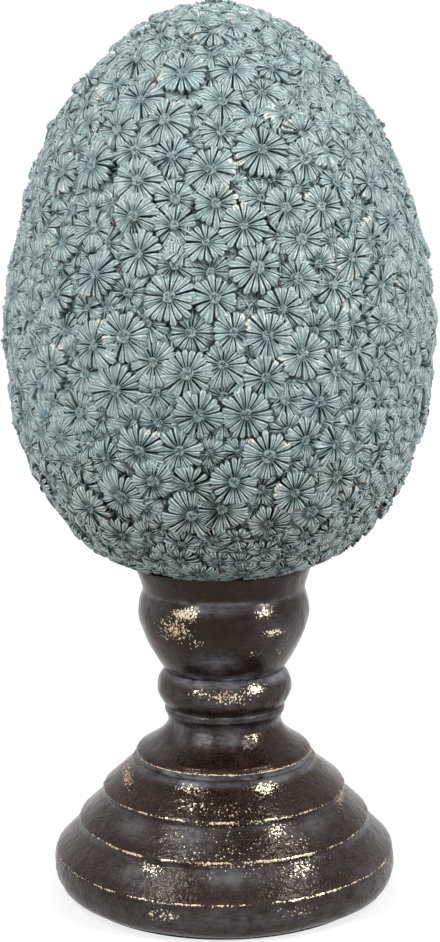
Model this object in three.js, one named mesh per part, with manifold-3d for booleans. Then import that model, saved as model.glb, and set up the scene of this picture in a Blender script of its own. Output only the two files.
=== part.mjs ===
// Decorative daisy egg on a turned stand, built as the pieces that it comes apart into.
// Millimetres, +Z up, front towards -Y. The origin is the middle of the felt that the stand rests on.
// Every piece is round about Z, apart from the daisies, the hexagon nut and the split lock washer.

import * as THREE from "three";
import { ConvexHull } from "three/addons/math/ConvexHull.js";
import { mergeVertices } from "three/addons/utils/BufferGeometryUtils.js";
import Module from "manifold-3d";

const wasm = await Module();
wasm.setup();

// Fits and facets
const seatGap = 0.3; // glue line between two faces that sit together
const socketPlay = 0.3; // radial play of a spigot, plug or disc in its socket
const rodPlay = 0.4; // radial play of the tie rod in the holes that it passes through
const ringSides = 36;
const hardwareSides = 16;
const roundPower = 2; // shape of a plain round, for the stretches that swell makes

// Tie rod and what is threaded on it
const rodRadius = 4;
const rodTail = 3; // length of rod below the nut
const washerWidth = 7; // from the rod to the washer's rim
const washerThickness = 1.6;
const lockWasherWidth = 3;
const lockWasherThickness = 2;
const lockWasherSplit = 20; // degrees of its circle that the split takes
const nutWall = 2.5; // from the rod to a flat of the nut
const nutThickness = 6.5;

// Threaded insert and the base plug of the egg that holds it
const insertWall = 2;
const insertHeight = 9;
const plugWall = 4.7;
const plugCap = 1.7; // thickness of plug above the insert
const plugFlangeWidth = 3;
const plugFlangeThickness = 2;

// Spigots and sockets that centre one stand piece on the next
const spigotWall = 7; // from the rod to the outside of a spigot
const spigotDepth = 5;

// Felt and base cover
const feltInset = 1.2; // the felt stops this far inside the foot's underside
const feltThickness = 1.2;
const coverThickness = 2.4;
const coverSeat = 2; // width of the ledge in the foot that the cover sits against

// Foot: its rim from the underside up, then its treads up to the ledge round the pedestal
const footBulge = 5.2; // the widest ring stands this far outside the underside
const footBulgeHeight = 7;
const footRimHeight = 12.4;
const footRimInset = 0.8; // the top of the rim lies this far inside the widest ring
const lowerTreadRun = 8.4;
const lowerTreadRise = 8.7;
const lowerRiser = 2.2;
const lowerOverhang = 0.4;
const middleTreadRun = 9.0;
const middleTreadRise = 8.5;
const middleRiser = 2.3;
const middleOverhang = 0.7;
const upperTreadRun = 10.6;
const upperTreadRise = 9.0;
const upperRiser = 0.7;
const treadCrown = 0.3; // a tread bows out this far between its edges
const ledgeWidth = 1.3; // flat ledge outside the pedestal's edge
const footWall = 15; // across the wall round the foot's hollow
const footRoof = 5; // thickness of roof below the pedestal's socket

// Pedestal, from its underside up
const domeRadius = 30.3;
const domeEdgeInset = 0.9;
const domeEdgeHeight = 2.3;
const domeBrowHeight = 1.9;
const domeBrowRun = 1.4;
const browPower = 1.7;
const neckRadius = 19.4;
const neckFlareHeight = 9;
const neckFlarePower = 2.2;
const lipProud = 0.5; // the lip stands this far outside the bead's end
const lipRise = 4;
const lipPower = 1.6;
const lipThickness = 1.5;

// Bead
const stemRadius = 20.4; // where the bead meets the lip below it and the cup above it
const beadSwell = 2.8;
const beadLowerHeight = 6;
const beadUpperHeight = 6.4;
const beadPower = 2.1;

// Cup that holds the egg
const bulbSwell = 1.8; // the bulb stands this far outside the groove under the collar
const bulbLowerHeight = 19.9;
const bulbUpperHeight = 7.5;
const bulbLowerPower = 1.7;
const bulbUpperPower = 1.9;
const collarHeight = 9;
const collarFlare = 2.6;
const collarPower = 1.2;
const collarRimRound = 0.5;
const cupRimWall = 3.2;
const cupFloorPlay = 1; // radial room for the plug's flange in the cup

// Egg without its daisies
const eggRadius = 68.9;
const eggUpperHeight = 109.7;
const eggLowerHeight = 77;
const eggUpperPower = 0.528; // half makes a plain ellipse, more makes a pointed end
const eggLowerPower = 0.405; // less than half makes a full, round end
const eggWall = 5;
const eggSink = 3.9; // the egg's lower end would lie this far below the cup's rim
const eggFlatMargin = 1.9; // width of flat outside the plug's flange
const seatSides = 24;
const seatSteps = 3;
const hollowRings = 11;

// Daisies cast on the egg
const daisyPitch = 15.5;
const daisyWander = 0.12; // radians that a daisy may stray around the egg
const daisyRadius = 7.6;
const daisyRadiusSpread = 1.0;
const proudDistance = 8.5; // least distance from the middle of a proud daisy to the next one's
const daisyHeight = 3.4; // height of the petals above the egg's skin
const daisyHeightSpread = 1.3;
const daisyEyeDrop = 0.8; // the eye lies this far below the petals
const petalCount = 8;
const petalGapPlace = 0.93; // place of the gap's deepest point, as a share of the petal's length
const petalGapDepth = 2.6;
const petalCover = 1.03; // a daisy hides the corners of lower ones this far out, as a share of its radius
const leastSpacing = 1.3; // least distance between two corners of the skin
const goldenAngle = Math.PI * (3 - Math.sqrt(5));

// Daisies that stand proud on the front: across, height above the egg's widest ring, and radius
const frontDaisies = [
  [-10, 84, 7.6],
  [5, 86, 7.2],
  [-17, 70, 7.2],
  [23, 78, 7.4],
  [13, 61, 8.2],
  [-1, 56, 7.5],
  [-23, 52, 7.2],
  [-36, 58, 7.2],
  [36, 52, 7.4],
  [-25, 41, 7.9],
  [-11, 39, 7.2],
  [20, 44, 7.7],
  [33, 44, 7.1],
  [-36, 25, 7.6],
  [-14, 17, 8.7],
  [12, 26, 7.8],
  [4, 41, 7.2],
  [41, 28, 7.4],
  [-28, 5, 7.7],
  [-6, 7, 7.6],
  [15, 6, 8.1],
  [36, 8, 7.9],
  [-10, -5, 8.1],
  [-31, -10, 8.2],
  [-5, -18, 7.9],
  [9, -19, 8.4],
  [30, -15, 7.9],
  [-22, -30, 8.5],
  [16, -31, 7.9],
  [3, -52, 8.0],
];

// The foot's treads from the rim up. Each slopes in by its run, and then a riser stands at its inner end.
const footTreads = [
  { run: lowerTreadRun, rise: lowerTreadRise, riser: lowerRiser, overhang: lowerOverhang },
  { run: middleTreadRun, rise: middleTreadRise, riser: middleRiser, overhang: middleOverhang },
  { run: upperTreadRun, rise: upperTreadRise, riser: upperRiser, overhang: 0 },
];

// Radii of what is fitted to the rod, from the middle outwards
const rodHoleRadius = rodRadius + rodPlay;
const washerRadius = rodRadius + washerWidth;
const lockWasherRadius = rodRadius + lockWasherWidth;
const nutFlatRadius = rodRadius + nutWall;
const insertRadius = rodHoleRadius + insertWall;
const spigotRadius = rodHoleRadius + spigotWall;
const socketRadius = spigotRadius + socketPlay;
const plugRadius = insertRadius + socketPlay + plugWall;
const eggHoleRadius = plugRadius + socketPlay;
const plugFlangeRadius = eggHoleRadius + plugFlangeWidth;
const eggFlatRadius = plugFlangeRadius + eggFlatMargin;
const cupFloorRadius = plugFlangeRadius + cupFloorPlay;

// Levels of the stand, worked up from the surface that the felt rests on
const footBottom = feltThickness + seatGap;
const footRimTop = footBottom + footRimHeight;
const footTop = footTreads.reduce((level, tread) => level + tread.rise + tread.riser, footRimTop);
const socketDepth = spigotDepth + seatGap;
const footRoofLevel = footTop - socketDepth - footRoof;
const pedestalBottom = footTop + seatGap;
const neckLevel = pedestalBottom + domeEdgeHeight + domeBrowHeight + neckFlareHeight;
const pedestalTop = neckLevel + lipRise + lipThickness;
const beadBottom = pedestalTop + seatGap;
const beadTop = beadBottom + beadLowerHeight + beadUpperHeight;
const cupBottom = beadTop + seatGap;
const bulbLevel = cupBottom + bulbLowerHeight;
const collarBottom = bulbLevel + bulbUpperHeight;
const cupRim = collarBottom + collarHeight;

// Levels of the egg and of the plug in its lower end
const eggLevel = cupRim - eggSink + eggLowerHeight;
const eggFlatShare = Math.sqrt(1 - (eggFlatRadius / eggRadius) ** (1 / eggLowerPower));
const eggFlatLevel = eggLevel - eggLowerHeight * eggFlatShare;
const plugTop = eggFlatLevel - seatGap;
const plugBottom = plugTop - plugFlangeThickness;
const cupFloor = plugBottom - seatGap;
const insertTop = plugBottom + insertHeight;

// Radii of the stand: the cup follows the egg, and the foot follows the pedestal.
const cupRimRadius = eggSkinRadius(cupRim) + cupRimWall;
const grooveRadius = cupRimRadius - collarFlare;
const bulbRadius = grooveRadius + bulbSwell;
const beadRadius = stemRadius + beadSwell;
const footTopRadius = domeRadius + ledgeWidth;
const treadSteps = footTreads.map((tread) => tread.run - tread.overhang);
const footRimRadius = treadSteps.reduce((radius, step) => radius + step, footTopRadius);
const footWidestRadius = footRimRadius + footRimInset;
const footUndersideRadius = footWidestRadius - footBulge;
const feltRadius = footUndersideRadius - feltInset;
const hollowRadius = footRimRadius - footWall;
const coverRadius = hollowRadius + coverSeat;

// Radius of the egg's skin, without daisies, at a height
function eggSkinRadius(height) {
  const above = height >= eggLevel;
  const share = (height - eggLevel) / (above ? eggUpperHeight : eggLowerHeight);
  return eggRadius * Math.max(0, 1 - share * share) ** (above ? eggUpperPower : eggLowerPower);
}

// Makers of outlines, each a list of [radius, height] pairs

// A stretch that leaves its first point straight up and bends over towards its last one.
function swell(start, end, power, steps) {
  const points = [];
  for (let step = 0; step <= steps; step += 1) {
    const share = step / steps;
    const radius = start[0] + (end[0] - start[0]) * share ** power;
    points.push([radius, start[1] + (end[1] - start[1]) * share]);
  }
  return points;
}

// A quarter of an ellipse that leaves its first point sideways and arrives at its last one upright.
function quarterRound(start, end, steps) {
  const points = [];
  for (let step = 0; step <= steps; step += 1) {
    const angle = (step / steps) * (Math.PI / 2);
    const radius = start[0] + (end[0] - start[0]) * Math.sin(angle);
    points.push([radius, end[1] + (start[1] - end[1]) * Math.cos(angle)]);
  }
  return points;
}

// A stretch between two points that bows out to its right by the given amount.
function bow(start, end, amount, steps) {
  const run = end[0] - start[0];
  const rise = end[1] - start[1];
  const length = Math.hypot(run, rise);
  const points = [];
  for (let step = 0; step <= steps; step += 1) {
    const share = step / steps;
    const offset = amount * Math.sin(share * Math.PI);
    const radius = start[0] + run * share + (offset * rise) / length;
    points.push([radius, start[1] + rise * share - (offset * run) / length]);
  }
  return points;
}

// Geometry helpers

// Spins a closed outline, given anticlockwise, about Z.
function spin(outline, sides = ringSides) {
  const points = [];
  for (const [radius, height] of outline) {
    const last = points[points.length - 1];
    if (!last || Math.hypot(last.x - radius, last.y - height) > 1e-4) {
      points.push(new THREE.Vector2(radius, height));
    }
  }
  const onAxis = points[0].x === 0 && points[points.length - 1].x === 0;
  if (!onAxis) points.push(points[0].clone());
  return new THREE.LatheGeometry(points, sides).rotateX(Math.PI / 2);
}

function disc(radius, bottom, top, sides = ringSides) {
  return spin([[0, bottom], [radius, bottom], [radius, top], [0, top]], sides);
}

function sleeve(radius, bore, bottom, top, sides = hardwareSides) {
  return spin([[bore, bottom], [radius, bottom], [radius, top], [bore, top]], sides);
}

function toSolid(geometry) {
  const bare = geometry.clone();
  bare.deleteAttribute("normal");
  bare.deleteAttribute("uv");
  const merged = mergeVertices(bare, 1e-4);
  const mesh = new wasm.Mesh({
    numProp: 3,
    vertProperties: new Float32Array(merged.attributes.position.array),
    triVerts: new Uint32Array(merged.index.array),
  });
  return new wasm.Manifold(mesh);
}

function toGeometry(solid) {
  const mesh = solid.getMesh();
  const geometry = new THREE.BufferGeometry();
  geometry.setAttribute("position", new THREE.BufferAttribute(mesh.vertProperties, 3));
  geometry.setIndex(new THREE.BufferAttribute(mesh.triVerts, 1));
  geometry.computeVertexNormals();
  return geometry;
}

// Materials
const finishes = {
  tealResin: { color: 0x8ba5a5, roughness: 0.75, metalness: 0 },
  bronzeResin: { color: 0x372a24, roughness: 0.42, metalness: 0.15 },
  zincSteel: { color: 0xb9bcc0, roughness: 0.35, metalness: 1 },
  brass: { color: 0xb08d4a, roughness: 0.35, metalness: 1 },
  hardboard: { color: 0x6b5140, roughness: 0.9, metalness: 0 },
  felt: { color: 0x1d1c1c, roughness: 1, metalness: 0 },
};

const group = new THREE.Group();

function addPiece(name, geometry, finish) {
  const mesh = new THREE.Mesh(geometry, new THREE.MeshStandardMaterial(finishes[finish]));
  mesh.name = name;
  group.add(mesh);
}

// Stand

function footOutline() {
  const widest = [footWidestRadius, footBottom + footBulgeHeight];
  let edge = [footRimRadius, footRimTop];
  const points = quarterRound([footUndersideRadius, footBottom], widest, 4);
  points.push(...swell(widest, edge, roundPower, 2));
  let shoulder = edge;
  for (const tread of footTreads) {
    shoulder = edge;
    const foot = [edge[0] - tread.run, edge[1] + tread.rise];
    points.push(...bow(edge, foot, treadCrown, 4));
    edge = [foot[0] + tread.overhang, foot[1] + tread.riser];
    points.push(edge);
  }
  const coverLevel = footBottom + coverThickness + seatGap;
  return [
    ...points,
    [socketRadius, footTop],
    [socketRadius, footTop - socketDepth],
    [rodHoleRadius, footTop - socketDepth],
    [rodHoleRadius, footRoofLevel],
    [shoulder[0] - footWall, footRoofLevel],
    [hollowRadius, footRimTop],
    [hollowRadius, coverLevel],
    [coverRadius + socketPlay, coverLevel],
    [coverRadius + socketPlay, footBottom],
  ];
}

// From the rod's hole down round the spigot and out along the underside of a stand piece
function spigotBelow(bottom, underRadius) {
  return [
    [rodHoleRadius, bottom - spigotDepth],
    [spigotRadius, bottom - spigotDepth],
    [spigotRadius, bottom],
    [underRadius, bottom],
  ];
}

// From the rim of the socket in a stand piece's top down to the rod's hole
function socketAbove(top) {
  return [
    [socketRadius, top],
    [socketRadius, top - socketDepth],
    [rodHoleRadius, top - socketDepth],
  ];
}

function pedestalOutline() {
  const underRadius = domeRadius - domeEdgeInset;
  const browBottom = pedestalBottom + domeEdgeHeight;
  const browTop = browBottom + domeBrowHeight;
  const lipRadius = stemRadius + lipProud;
  const lipBottom = neckLevel + lipRise;
  return [
    ...quarterRound([underRadius, pedestalBottom], [domeRadius, browBottom], 2),
    ...swell([domeRadius, browBottom], [domeRadius - domeBrowRun, browTop], browPower, 3),
    ...swell([neckRadius, neckLevel], [domeRadius - domeBrowRun, browTop], neckFlarePower, 7).reverse(),
    ...swell([neckRadius, neckLevel], [lipRadius, lipBottom], lipPower, 3),
    ...swell([lipRadius, lipBottom], [stemRadius, pedestalTop], roundPower, 2),
    ...socketAbove(pedestalTop),
    ...spigotBelow(pedestalBottom, underRadius),
  ];
}

function beadOutline() {
  const widest = [beadRadius, beadBottom + beadLowerHeight];
  return [
    ...swell(widest, [stemRadius, beadBottom], beadPower, 4).reverse(),
    ...swell(widest, [stemRadius, beadTop], beadPower, 4),
    ...socketAbove(beadTop),
    ...spigotBelow(beadBottom, stemRadius),
  ];
}

function cupOutline() {
  const widest = [bulbRadius, bulbLevel];
  const groove = [grooveRadius, collarBottom];
  const seat = [];
  for (let step = 0; step <= seatSteps; step += 1) {
    const level = cupRim + ((eggFlatLevel - cupRim) * step) / seatSteps;
    seat.push([eggSkinRadius(level) + 2 * seatGap, level]);
  }
  return [
    ...swell(widest, [stemRadius, cupBottom], bulbLowerPower, 8).reverse(),
    ...swell(widest, groove, bulbUpperPower, 4),
    ...swell(groove, [cupRimRadius, cupRim - collarRimRound], collarPower, 3),
    [cupRimRadius - collarRimRound, cupRim],
    ...seat,
    [cupFloorRadius, cupFloor],
    [rodHoleRadius, cupFloor],
    ...spigotBelow(cupBottom, stemRadius),
  ];
}

addPiece("felt_base", disc(feltRadius, 0, feltThickness), "felt");
addPiece("base_cover", disc(coverRadius, footBottom, footBottom + coverThickness), "hardboard");
addPiece("stand_foot", spin(footOutline()), "bronzeResin");
addPiece("stand_pedestal", spin(pedestalOutline()), "bronzeResin");
addPiece("stand_bead", spin(beadOutline()), "bronzeResin");
addPiece("stand_cup", spin(cupOutline()), "bronzeResin");

// Tie rod, which draws the egg and the stand together, and its fastening under the foot's roof

const washerTop = footRoofLevel - seatGap;
const washerBottom = washerTop - washerThickness;
const lockWasherTop = washerBottom - seatGap;
const lockWasherBottom = lockWasherTop - lockWasherThickness;
const nutTop = lockWasherBottom - seatGap;
const nutBottom = nutTop - nutThickness;
const rodBottom = nutBottom - rodTail;

function nutGeometry() {
  const corner = (2 * nutFlatRadius) / Math.sqrt(3);
  const shape = new THREE.Shape();
  for (let side = 0; side < 6; side += 1) {
    const angle = (side * Math.PI) / 3;
    shape[side === 0 ? "moveTo" : "lineTo"](corner * Math.cos(angle), corner * Math.sin(angle));
  }
  shape.closePath();
  const hole = new THREE.Path();
  hole.absarc(0, 0, rodHoleRadius, 0, Math.PI * 2, true);
  shape.holes.push(hole);
  const options = { depth: nutThickness, bevelEnabled: false, curveSegments: hardwareSides };
  return new THREE.ExtrudeGeometry(shape, options).translate(0, 0, nutBottom);
}

function lockWasherGeometry() {
  const half = THREE.MathUtils.degToRad(lockWasherSplit / 2);
  const shape = new THREE.Shape();
  shape.absarc(0, 0, lockWasherRadius, half, Math.PI * 2 - half, false);
  shape.absarc(0, 0, rodHoleRadius, Math.PI * 2 - half, half, true);
  shape.closePath();
  const options = { depth: lockWasherThickness, bevelEnabled: false, curveSegments: hardwareSides };
  return new THREE.ExtrudeGeometry(shape, options).translate(0, 0, lockWasherBottom);
}

addPiece("tie_rod", disc(rodRadius, rodBottom, insertTop - seatGap, hardwareSides), "zincSteel");
addPiece("rod_washer", sleeve(washerRadius, rodHoleRadius, washerBottom, washerTop), "zincSteel");
addPiece("lock_washer", lockWasherGeometry(), "zincSteel");
addPiece("rod_nut", nutGeometry(), "zincSteel");
addPiece("threaded_insert", sleeve(insertRadius, rodHoleRadius, plugBottom, insertTop), "brass");

// Plug that closes the egg and holds the insert
function plugOutline() {
  const insertHoleRadius = insertRadius + socketPlay;
  const insertHoleTop = insertTop + seatGap;
  return [
    [insertHoleRadius, plugBottom],
    [plugFlangeRadius, plugBottom],
    [plugFlangeRadius, plugTop],
    [plugRadius, plugTop],
    [plugRadius, insertHoleTop + plugCap],
    [rodHoleRadius, insertHoleTop + plugCap],
    [rodHoleRadius, insertHoleTop],
    [insertHoleRadius, insertHoleTop],
  ];
}
addPiece("egg_base_plug", spin(plugOutline(), seatSides), "tealResin");

// Egg

const meridianSteps = 720;
const leastStretchRadius = 0.05;

// The egg's meridian from its lower end to its top. Each entry has the radius and level of the skin,
// its angle seen from the middle of the egg, and a stretch that keeps shapes true on a round ball.
function meridianTable() {
  const table = [];
  let stretch = 0;
  for (let step = 0; step <= meridianSteps; step += 1) {
    const angle = -Math.PI / 2 + (Math.PI * step) / meridianSteps;
    const share = Math.sin(angle);
    const level = share * (share >= 0 ? eggUpperHeight : eggLowerHeight);
    const radius = eggSkinRadius(eggLevel + level);
    const last = table[table.length - 1];
    if (last) {
      const length = Math.hypot(radius - last.radius, level - last.level);
      stretch += length / Math.max((radius + last.radius) / 2, leastStretchRadius);
    }
    table.push({ radius, level, view: Math.atan2(level, radius), stretch });
  }
  return table;
}
const meridian = meridianTable();
const middleStretch = meridian.find((entry) => entry.level >= 0).stretch;

// The skin in the direction of a point: its place, its outward normal and its place on a unit ball.
function skinTowards(point) {
  const azimuth = Math.atan2(point.y, point.x);
  const view = Math.atan2(point.z - eggLevel, Math.hypot(point.x, point.y));
  let low = 0;
  let high = meridian.length - 1;
  while (high - low > 1) {
    const middle = (low + high) >> 1;
    if (meridian[middle].view <= view) low = middle;
    else high = middle;
  }
  const [from, to] = [meridian[low], meridian[high]];
  const share = THREE.MathUtils.clamp((view - from.view) / (to.view - from.view), 0, 1);
  const radius = from.radius + (to.radius - from.radius) * share;
  const level = from.level + (to.level - from.level) * share;
  const run = to.level - from.level;
  const fall = from.radius - to.radius;
  const length = Math.hypot(run, fall);
  const out = new THREE.Vector3(Math.cos(azimuth), Math.sin(azimuth), 0);
  const place = out.clone().multiplyScalar(radius).setZ(eggLevel + level);
  const normal = out.clone().multiplyScalar(run / length).setZ(fall / length);
  const stretch = from.stretch + (to.stretch - from.stretch) * share - middleStretch;
  const ball = out.clone().divideScalar(Math.cosh(stretch)).setZ(Math.tanh(stretch));
  return { place, normal, ball };
}

// A number from 0 to 1 that looks random and is the same each time
function scatter(index, channel) {
  const wave = Math.sin(index * 12.9898 + channel * 78.233) * 43758.5453;
  return wave - Math.floor(wave);
}

// Where the daisies lie: the proud ones of the front, then a spiral of even spacing over the rest.
function placeDaisies() {
  const daisies = [];
  for (const [across, above, radius] of frontDaisies) {
    const depth = Math.sqrt(Math.max(0, eggSkinRadius(eggLevel + above) ** 2 - across * across));
    const middle = skinTowards(new THREE.Vector3(across, -depth, eggLevel + above));
    daisies.push({ ...middle, radius, height: daisyHeight });
  }
  const proud = daisies.map((daisy) => daisy.place);
  const bands = [];
  let area = 0;
  for (let step = meridian.length - 1; step > 0; step -= 1) {
    const [upper, lower] = [meridian[step], meridian[step - 1]];
    if (lower.level < cupRim - eggLevel) break;
    const length = Math.hypot(upper.radius - lower.radius, upper.level - lower.level);
    area += Math.PI * (upper.radius + lower.radius) * length;
    bands.push({ area, radius: lower.radius, level: lower.level });
  }
  const daisyArea = daisyPitch ** 2 * Math.sin(Math.PI / 3);
  const count = Math.round(area / daisyArea);
  let band = 0;
  for (let index = 0; index < count; index += 1) {
    while (bands[band].area < (area * (index + 0.5)) / count) band += 1;
    const azimuth = index * goldenAngle + daisyWander * (scatter(index, 4) - 0.5);
    const { radius: ring, level } = bands[band];
    const towards = new THREE.Vector3(ring * Math.cos(azimuth), ring * Math.sin(azimuth), eggLevel + level);
    const middle = skinTowards(towards);
    if (proud.every((other) => other.distanceTo(middle.place) > proudDistance)) {
      const radius = daisyRadius + daisyRadiusSpread * (2 * scatter(index, 1) - 1);
      const height = daisyHeight - daisyHeightSpread * scatter(index, 2);
      daisies.push({ ...middle, radius, height });
    }
  }
  return daisies.sort((one, other) => other.height - one.height);
}

// The skin's corner points. A daisy has its eye, and for each petal a raised tip and a sunken gap.
// Where daisies overlap, the points of the lower one are left out.
function skinPoints() {
  const points = [];
  const daisies = placeDaisies();
  const addPoint = (towards, height, own) => {
    const { place, normal, ball } = skinTowards(towards);
    for (const daisy of daisies) {
      if (daisy === own) break;
      if (daisy.place.distanceTo(place) < daisy.radius * petalCover) return;
    }
    const position = place.clone().addScaledVector(normal, height);
    if (points.some((other) => other.place.distanceTo(place) < leastSpacing)) return;
    points.push({ place, position, ball });
  };
  daisies.forEach((daisy, index) => {
    const around = new THREE.Vector3(-daisy.place.y, daisy.place.x, 0).normalize();
    const up = daisy.normal.clone().cross(around);
    const turn = scatter(index, 3) * Math.PI * 2;
    const addOwn = (angle, distance, height) => {
      const towards = daisy.place.clone();
      towards.addScaledVector(around, Math.cos(angle) * distance);
      towards.addScaledVector(up, Math.sin(angle) * distance);
      addPoint(towards, height, daisy);
    };
    addOwn(0, 0, daisy.height - daisyEyeDrop);
    for (let petal = 0; petal < petalCount; petal += 1) {
      const angle = turn + (petal * Math.PI * 2) / petalCount;
      const gapAngle = angle + Math.PI / petalCount;
      addOwn(angle, daisy.radius, daisy.height);
      addOwn(gapAngle, daisy.radius * petalGapPlace, daisy.height - petalGapDepth);
    }
  });
  return points;
}

// Rings of bare skin where the egg sits in the cup, and the flat across its lower end
function seatPoints() {
  const points = [];
  const levels = [cupRim + seatGap, (cupRim + eggFlatLevel) / 2, eggFlatLevel];
  levels.forEach((level, ring) => {
    const radius = eggSkinRadius(level);
    for (let side = 0; side < seatSides; side += 1) {
      const angle = ((side + 0.5 * (ring % 2)) * 2 * Math.PI) / seatSides;
      const position = new THREE.Vector3(radius * Math.cos(angle), radius * Math.sin(angle), level);
      points.push({ position, ball: skinTowards(position).ball });
    }
  });
  const position = new THREE.Vector3(0, 0, eggFlatLevel);
  points.push({ position, ball: new THREE.Vector3(0, 0, -1) });
  return points;
}

// The egg's outer skin: its corner points, joined the way their places on a round ball join best.
function skinSolid() {
  const aboveSeat = (point) => point.position.z > cupRim + seatGap + leastSpacing;
  const points = [...skinPoints().filter(aboveSeat), ...seatPoints()];
  const corners = new Map(points.map((point, index) => [point.ball, index]));
  const hull = new ConvexHull().setFromPoints(points.map((point) => point.ball));
  const triangles = hull.faces.flatMap(({ edge }) => {
    const ends = [edge, edge.next, edge.next.next];
    return ends.map((end) => corners.get(end.head().point));
  });
  const positions = points.flatMap(({ position }) => position.toArray());
  const geometry = new THREE.BufferGeometry();
  geometry.setAttribute("position", new THREE.Float32BufferAttribute(positions, 3));
  geometry.setIndex(triangles);
  return toSolid(geometry);
}

// The hollow of the egg is a plain egg of its own, one wall thinner all round.
function hollowOutline() {
  const lower = eggLowerHeight - eggWall;
  const upper = eggUpperHeight - eggWall;
  const floor = eggFlatLevel + eggWall - eggLevel;
  const start = Math.asin(Math.max(-1, floor / lower));
  const points = [[0, eggLevel + floor]];
  for (let ring = 0; ring <= hollowRings; ring += 1) {
    const angle = start + ((Math.PI / 2 - start) * ring) / hollowRings;
    const reach = angle >= 0 ? upper : lower;
    const radius = ring === hollowRings ? 0 : (eggRadius - eggWall) * Math.cos(angle);
    points.push([radius, eggLevel + reach * Math.sin(angle)]);
  }
  return points;
}

function eggShellGeometry() {
  const hollow = toSolid(spin(hollowOutline(), seatSides));
  const hole = disc(eggHoleRadius, eggFlatLevel - eggWall, eggFlatLevel + 2 * eggWall, seatSides);
  return toGeometry(skinSolid().subtract(hollow).subtract(toSolid(hole)));
}
addPiece("egg_shell", eggShellGeometry(), "tealResin");

export default group;
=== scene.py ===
# Looks of the decorative daisy egg on its turned stand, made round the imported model.
# Shapes are worked out in millimetres and scaled to metres as each mesh is made.

import math

import bpy
import numpy as np
from mathutils import Matrix, Vector


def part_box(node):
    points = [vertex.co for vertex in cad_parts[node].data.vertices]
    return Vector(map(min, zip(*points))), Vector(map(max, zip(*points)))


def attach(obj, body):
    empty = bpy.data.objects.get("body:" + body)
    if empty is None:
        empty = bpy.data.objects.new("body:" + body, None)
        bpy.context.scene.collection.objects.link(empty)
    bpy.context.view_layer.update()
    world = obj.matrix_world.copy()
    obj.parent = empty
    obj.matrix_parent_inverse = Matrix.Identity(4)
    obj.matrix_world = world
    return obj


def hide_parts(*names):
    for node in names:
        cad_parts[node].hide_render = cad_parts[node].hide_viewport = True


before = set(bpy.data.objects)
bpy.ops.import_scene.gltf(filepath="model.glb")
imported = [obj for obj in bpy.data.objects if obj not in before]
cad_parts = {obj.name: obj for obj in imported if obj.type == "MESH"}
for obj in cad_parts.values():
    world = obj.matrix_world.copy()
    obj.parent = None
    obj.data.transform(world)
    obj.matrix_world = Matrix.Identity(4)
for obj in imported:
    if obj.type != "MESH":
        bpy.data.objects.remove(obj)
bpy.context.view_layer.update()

MM = 0.001
WHITE = (1, 1, 1)


def add_object(name, data):
    made = bpy.data.objects.new(name, data)
    bpy.context.scene.collection.objects.link(made)
    return made


# Camera, solved from the ellipses of the stand's rings

CAMERA_PLACE = (-0.0003, -0.6, 0.2371)
CAMERA_LOOKS_DOWN = 8.728
CAMERA_ROLL = -0.6
CAMERA_LENS = 68.32
CAMERA_NEAREST = 0.01
SENSOR = 36
PHOTO_WIDTH = 440
PHOTO_HEIGHT = 942

tilt_matrix = Matrix.Rotation(math.radians(90 - CAMERA_LOOKS_DOWN), 4, "X")
roll_matrix = Matrix.Rotation(math.radians(CAMERA_ROLL), 4, "Z")
camera_turn = tilt_matrix @ roll_matrix


def add_camera():
    data = bpy.data.cameras.new("camera")
    data.lens = CAMERA_LENS
    data.sensor_width = SENSOR
    data.clip_start = CAMERA_NEAREST
    camera = add_object("camera", data)
    camera.matrix_world = Matrix.Translation(CAMERA_PLACE) @ camera_turn
    bpy.context.scene.camera = camera


add_camera()


# Light. Each lamp has its direction from the object, its distance, size and power.

LAMPS = {
    "left_low": {"azimuth": -42, "rise": 20, "distance": 1.1, "size": 0.12, "power": 5.1},
    "left_high": {"azimuth": -58, "rise": 52, "distance": 1.1, "size": 0.2, "power": 2.8},
    "right_low": {"azimuth": 57, "rise": 20, "distance": 1.1, "size": 0.12, "power": 5.6},
    "right_high": {"azimuth": 68, "rise": 52, "distance": 1.1, "size": 0.2, "power": 2.8},
    "front": {"azimuth": 4, "rise": 34, "distance": 1.3, "size": 0.9, "power": 1.4},
    "behind": {"azimuth": 180, "rise": 35, "distance": 1.3, "size": 0.8, "power": 4.6},
}
LAMP_AIM = (0, 0, 0.15)
WORLD_GREY = 0.24


def add_lamp(name, azimuth, rise, distance, size, power):
    data = bpy.data.lights.new(name, "AREA")
    data.shape = "DISK"
    data.size = size
    data.energy = power
    lamp = add_object(name, data)
    around = math.radians(azimuth)
    up = math.radians(rise)
    towards = Vector((math.sin(around) * math.cos(up), -math.cos(around) * math.cos(up), math.sin(up)))
    lamp.location = Vector(LAMP_AIM) + towards * distance
    lamp.rotation_euler = towards.to_track_quat("Z", "Y").to_euler()


for lamp_name, lamp_values in LAMPS.items():
    add_lamp(lamp_name, **lamp_values)


# Shader helpers. An input may be a number, a colour or another node's socket.

MIX_FIRST = 6
MIX_SECOND = 7
MIX_RESULT = 2


def set_inputs(tree, node, inputs):
    for key, value in inputs.items():
        socket = node.inputs[key]
        if isinstance(value, bpy.types.NodeSocket):
            tree.links.new(value, socket)
        else:
            socket.default_value = (*value, 1) if socket.type == "RGBA" else value


def add_node(tree, kind, inputs, **settings):
    made = tree.nodes.new(kind)
    for key, value in settings.items():
        setattr(made, key, value)
    set_inputs(tree, made, inputs)
    return made


def new_material(name):
    material = bpy.data.materials.new(name)
    material.use_nodes = True
    return material, material.node_tree


def set_surface(tree, inputs):
    set_inputs(tree, tree.nodes["Principled BSDF"], inputs)


def places(tree):
    return tree.nodes.new("ShaderNodeTexCoord").outputs["Object"]


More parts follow.
